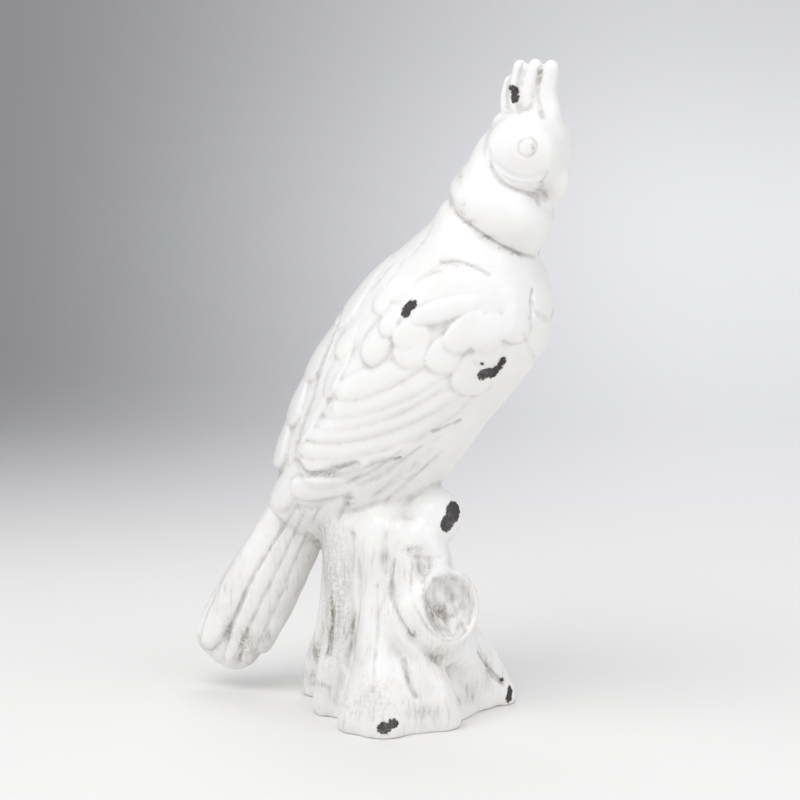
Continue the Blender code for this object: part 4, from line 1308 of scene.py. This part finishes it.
def glazeMaterial():
    material = bpy.data.materials.new("white_glaze_worn")
    material.use_nodes = True
    tree = material.node_tree
    shader = tree.nodes["Principled BSDF"]
    shader.inputs["Coat Weight"].default_value = glaze["coat"]
    shader.inputs["Coat Roughness"].default_value = glaze["coatRoughness"]
    place = addNode(tree, "ShaderNodeTexCoord", "Object")

    crease, painted, chip, height = (
        addNode(tree, "ShaderNodeAttribute", "Fac", {"attribute_name": name})
        for name in ("crease", "painted", "chip", "height"))

    # brush strokes run down the stump, and slantwise over the bird
    upright = addNode(tree, "ShaderNodeMapping", 0, Vector=place, Scale=(1.0, 1.0, 0.12))
    leaning = addNode(tree, "ShaderNodeMapping", 0, {"vector_type": "TEXTURE"}, Vector=place,
                      Rotation=(0.0, math.radians(-35.0), 0.0), Scale=(7.0, 1.0, 1.0))
    noises = []
    for vector, name in ((upright, "bark"), (leaning, "down"), (place, "cloud"), (place, "ragged")):
        scale, detail, rough = glaze["noise"][name]
        noises.append(addNode(tree, "ShaderNodeTexNoise", "Fac", Vector=vector,
                              Scale=scale, Detail=detail, Roughness=rough))
    barkStrokes, downStrokes, cloud, ragged = noises

    onStump = 1.0 - height.between(0.085, 0.112)
    strokes = barkStrokes * onStump + downStrokes * (1.0 - onStump)
    # darkening in the creases: partly the brown wash, partly painted shade where the creases lie in shadow
    creaseWashAndShade = crease.between(0.05, 0.90) * (0.50 + 0.04 * onStump) * (0.6 + 0.4 * cloud.between(0.38, 0.62))
    brushed = barkStrokes.between(0.50, 0.74) * onStump * cloud.between(0.38, 0.62) * 0.32
    inPaint = painted * (0.16 + 0.90 * (strokes * 0.6 + ragged * 0.9 - 0.25).between(0.36, 0.62))
    # all the darkening: brown wash and brushed streaks, with painted shade in the creases and the shaded
    # spots
    washAndShade = (creaseWashAndShade * (0.6 + 0.4 * strokes.between(0.35, 0.6)) + brushed + inPaint * 0.8).clamped()

    edge = chip + (ragged - 0.5) * 0.0036
    isChip = 1.0 - edge.between(-0.0001, 0.0001)
    nearChip = 1.0 - edge.between(0.0000, 0.0006)
    thinness = cloud.between(0.35, 0.7) * (0.35 + 0.5 * onStump)
    colour = mixColours(tree, thinness, glaze["white"], glaze["thin"])
    # the brown wash and the painted shade in creases and hollows darken the glaze here
    colour = mixColours(tree, washAndShade * 0.85, colour, glaze["washAndShade"])
    colour = mixColours(tree, nearChip * 0.45, colour, glaze["chipEdge"])
    worn = cloud.between(0.42, 0.60) * ragged.between(0.40, 0.62)
    bare = mixColours(tree, worn, glaze["chip"], glaze["chipWorn"])
    colour = mixColours(tree, isChip, colour, bare)
    tree.links.new(colour.socket, shader.inputs["Base Color"])
    rough = glaze["roughness"] + (cloud - 0.5) * 0.12 + washAndShade * 0.25
    rough = rough + isChip * (glaze["chipRoughness"] - glaze["roughness"])
    tree.links.new(rough.clamped().socket, shader.inputs["Roughness"])

    relief = cloud * 0.8 + strokes * (0.35 + 0.45 * onStump) + ragged * (0.05 + isChip)
    bump = addNode(tree, "ShaderNodeBump", "Normal", Height=relief, Strength=1.0, Distance=glaze["bump"])
    tree.links.new(bump.socket, shader.inputs["Normal"])
    return material


def addCamera(shift):
    right, up, away = shotAxes()
    camera = bpy.data.cameras.new("Camera")
    camera.sensor_width = 36.0
    camera.lens = camera.sensor_width * shot["distance"] / shot["span"]
    camera.clip_start = 0.1
    camera.clip_end = 20.0
    obj = bpy.data.objects.new("Camera", camera)
    bpy.context.scene.collection.objects.link(obj)
    obj.matrix_world = Matrix((right, up, away)).transposed().to_4x4()
    obj.location = Vector(shot["target"]) + shift + away * shot["distance"]
    bpy.context.scene.camera = obj


# Soft lights, as: name, degrees round and above the bird, distance, size, power.
studio = {
    "lights": (
        ("keyLight", -10.0, 56.0, 1.5, (1.1, 1.0), 10.5),
        ("fillLight", 74.0, 16.0, 1.9, (1.2, 1.4), 7.0),
        ("leftLight", -62.0, 14.0, 1.9, (1.2, 1.4), 4.2),
        ("topLight", 200.0, 62.0, 1.7, (1.2, 1.0), 6.0),
    ),
    "ambient": (0.96, 0.97, 1.0, 1.0),
    "ambientStrength": 0.72,
    "floor": (0.80, 0.793, 0.775, 1.0),
    "wall": (0.77, 0.77, 0.785, 1.0),
    "shade": (0.225, 0.225, 0.232, 1.0),
    "radius": 0.6,
}


def addSoftbox(name, azimuth, elevation, distance, size, power, aim):
    light = bpy.data.lights.new(name, "AREA")
    light.shape = "RECTANGLE"
    light.size, light.size_y = size
    light.energy = power
    obj = bpy.data.objects.new(name, light)
    bpy.context.scene.collection.objects.link(obj)
    away = facing(azimuth, elevation)
    obj.location = aim + away * distance
    obj.rotation_euler = away.to_track_quat("Z", "Y").to_euler()


def paperMaterial():
    # the paper falls off into shade towards the upper left
    material = bpy.data.materials.new("paperSweep")
    material.use_nodes = True
    tree = material.node_tree
    shader = tree.nodes["Principled BSDF"]
    place = addNode(tree, "ShaderNodeTexCoord", "Object")
    split = tree.nodes.new("ShaderNodeSeparateXYZ")
    tree.links.new(place.socket, split.inputs[0])
    sideways, back, rise = (Tone(tree, split.outputs[name]) for name in "XYZ")
    distant = back.between(0.15, 0.85)
    lit = sideways.between(-0.34, 0.22) * (1.0 - 0.32 * rise.between(0.06, 0.24))
    shade = (1.0 - lit) * distant
    colour = mixColours(tree, distant, studio["floor"], studio["wall"])
    colour = mixColours(tree, shade, colour, studio["shade"])
    tree.links.new(colour.socket, shader.inputs["Base Color"])
    shader.inputs["Roughness"].default_value = 0.7
    return material


def addStudio(shift):
    aim = Vector((0.0, 0.0, 0.17)) + shift
    for name, azimuth, elevation, distance, size, power in studio["lights"]:
        addSoftbox(name, azimuth, elevation, distance, size, power, aim)
    world = bpy.data.worlds.new("studio")
    bpy.context.scene.world = world
    world.use_nodes = True
    background = world.node_tree.nodes["Background"]
    background.inputs["Color"].default_value = studio["ambient"]
    background.inputs["Strength"].default_value = studio["ambientStrength"]

    # a seamless sweep of paper: floor, curve and wall
    radius = studio["radius"]
    turns = [math.radians(angle) for angle in range(0, 91, 9)]
    profile = [(-3.0, 0.0)]
    profile += [(0.7 + radius * math.sin(turn), radius - radius * math.cos(turn)) for turn in turns]
    profile += [(0.7 + radius, 3.5)]
    bm = bmesh.new()
    verts = [bm.verts.new((-3.0, y, z)) for y, z in profile]
    edges = [bm.edges.new(pair) for pair in zip(verts, verts[1:])]
    drawn = bmesh.ops.extrude_edge_only(bm, edges=edges)
    moved = [item for item in drawn["geom"] if isinstance(item, bmesh.types.BMVert)]
    bmesh.ops.translate(bm, verts=moved, vec=(6.0, 0.0, 0.0))
    bmesh.ops.recalc_face_normals(bm, faces=bm.faces)
    sweep = objectFrom(bm, "studioSweep")
    sweep.data.shade_smooth()
    sweep.rotation_euler = (0.0, 0.0, math.radians(shot["azimuth"]))
    sweep.location = (shift.x, shift.y, 0.0)
    sweep.data.materials.append(paperMaterial())


cockatoo = sculptBird()
shift = moveToFrame(cockatoo)
cockatoo.data.shade_smooth()
cockatoo.data.materials.append(glazeMaterial())
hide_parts("cockatoo_figurine")
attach(cockatoo, "root")
report("bird, %d triangles" % triangleCount(cockatoo))
addCamera(shift)
addStudio(shift)
report("studio")

bpy.context.scene.view_settings.view_transform = "Standard"
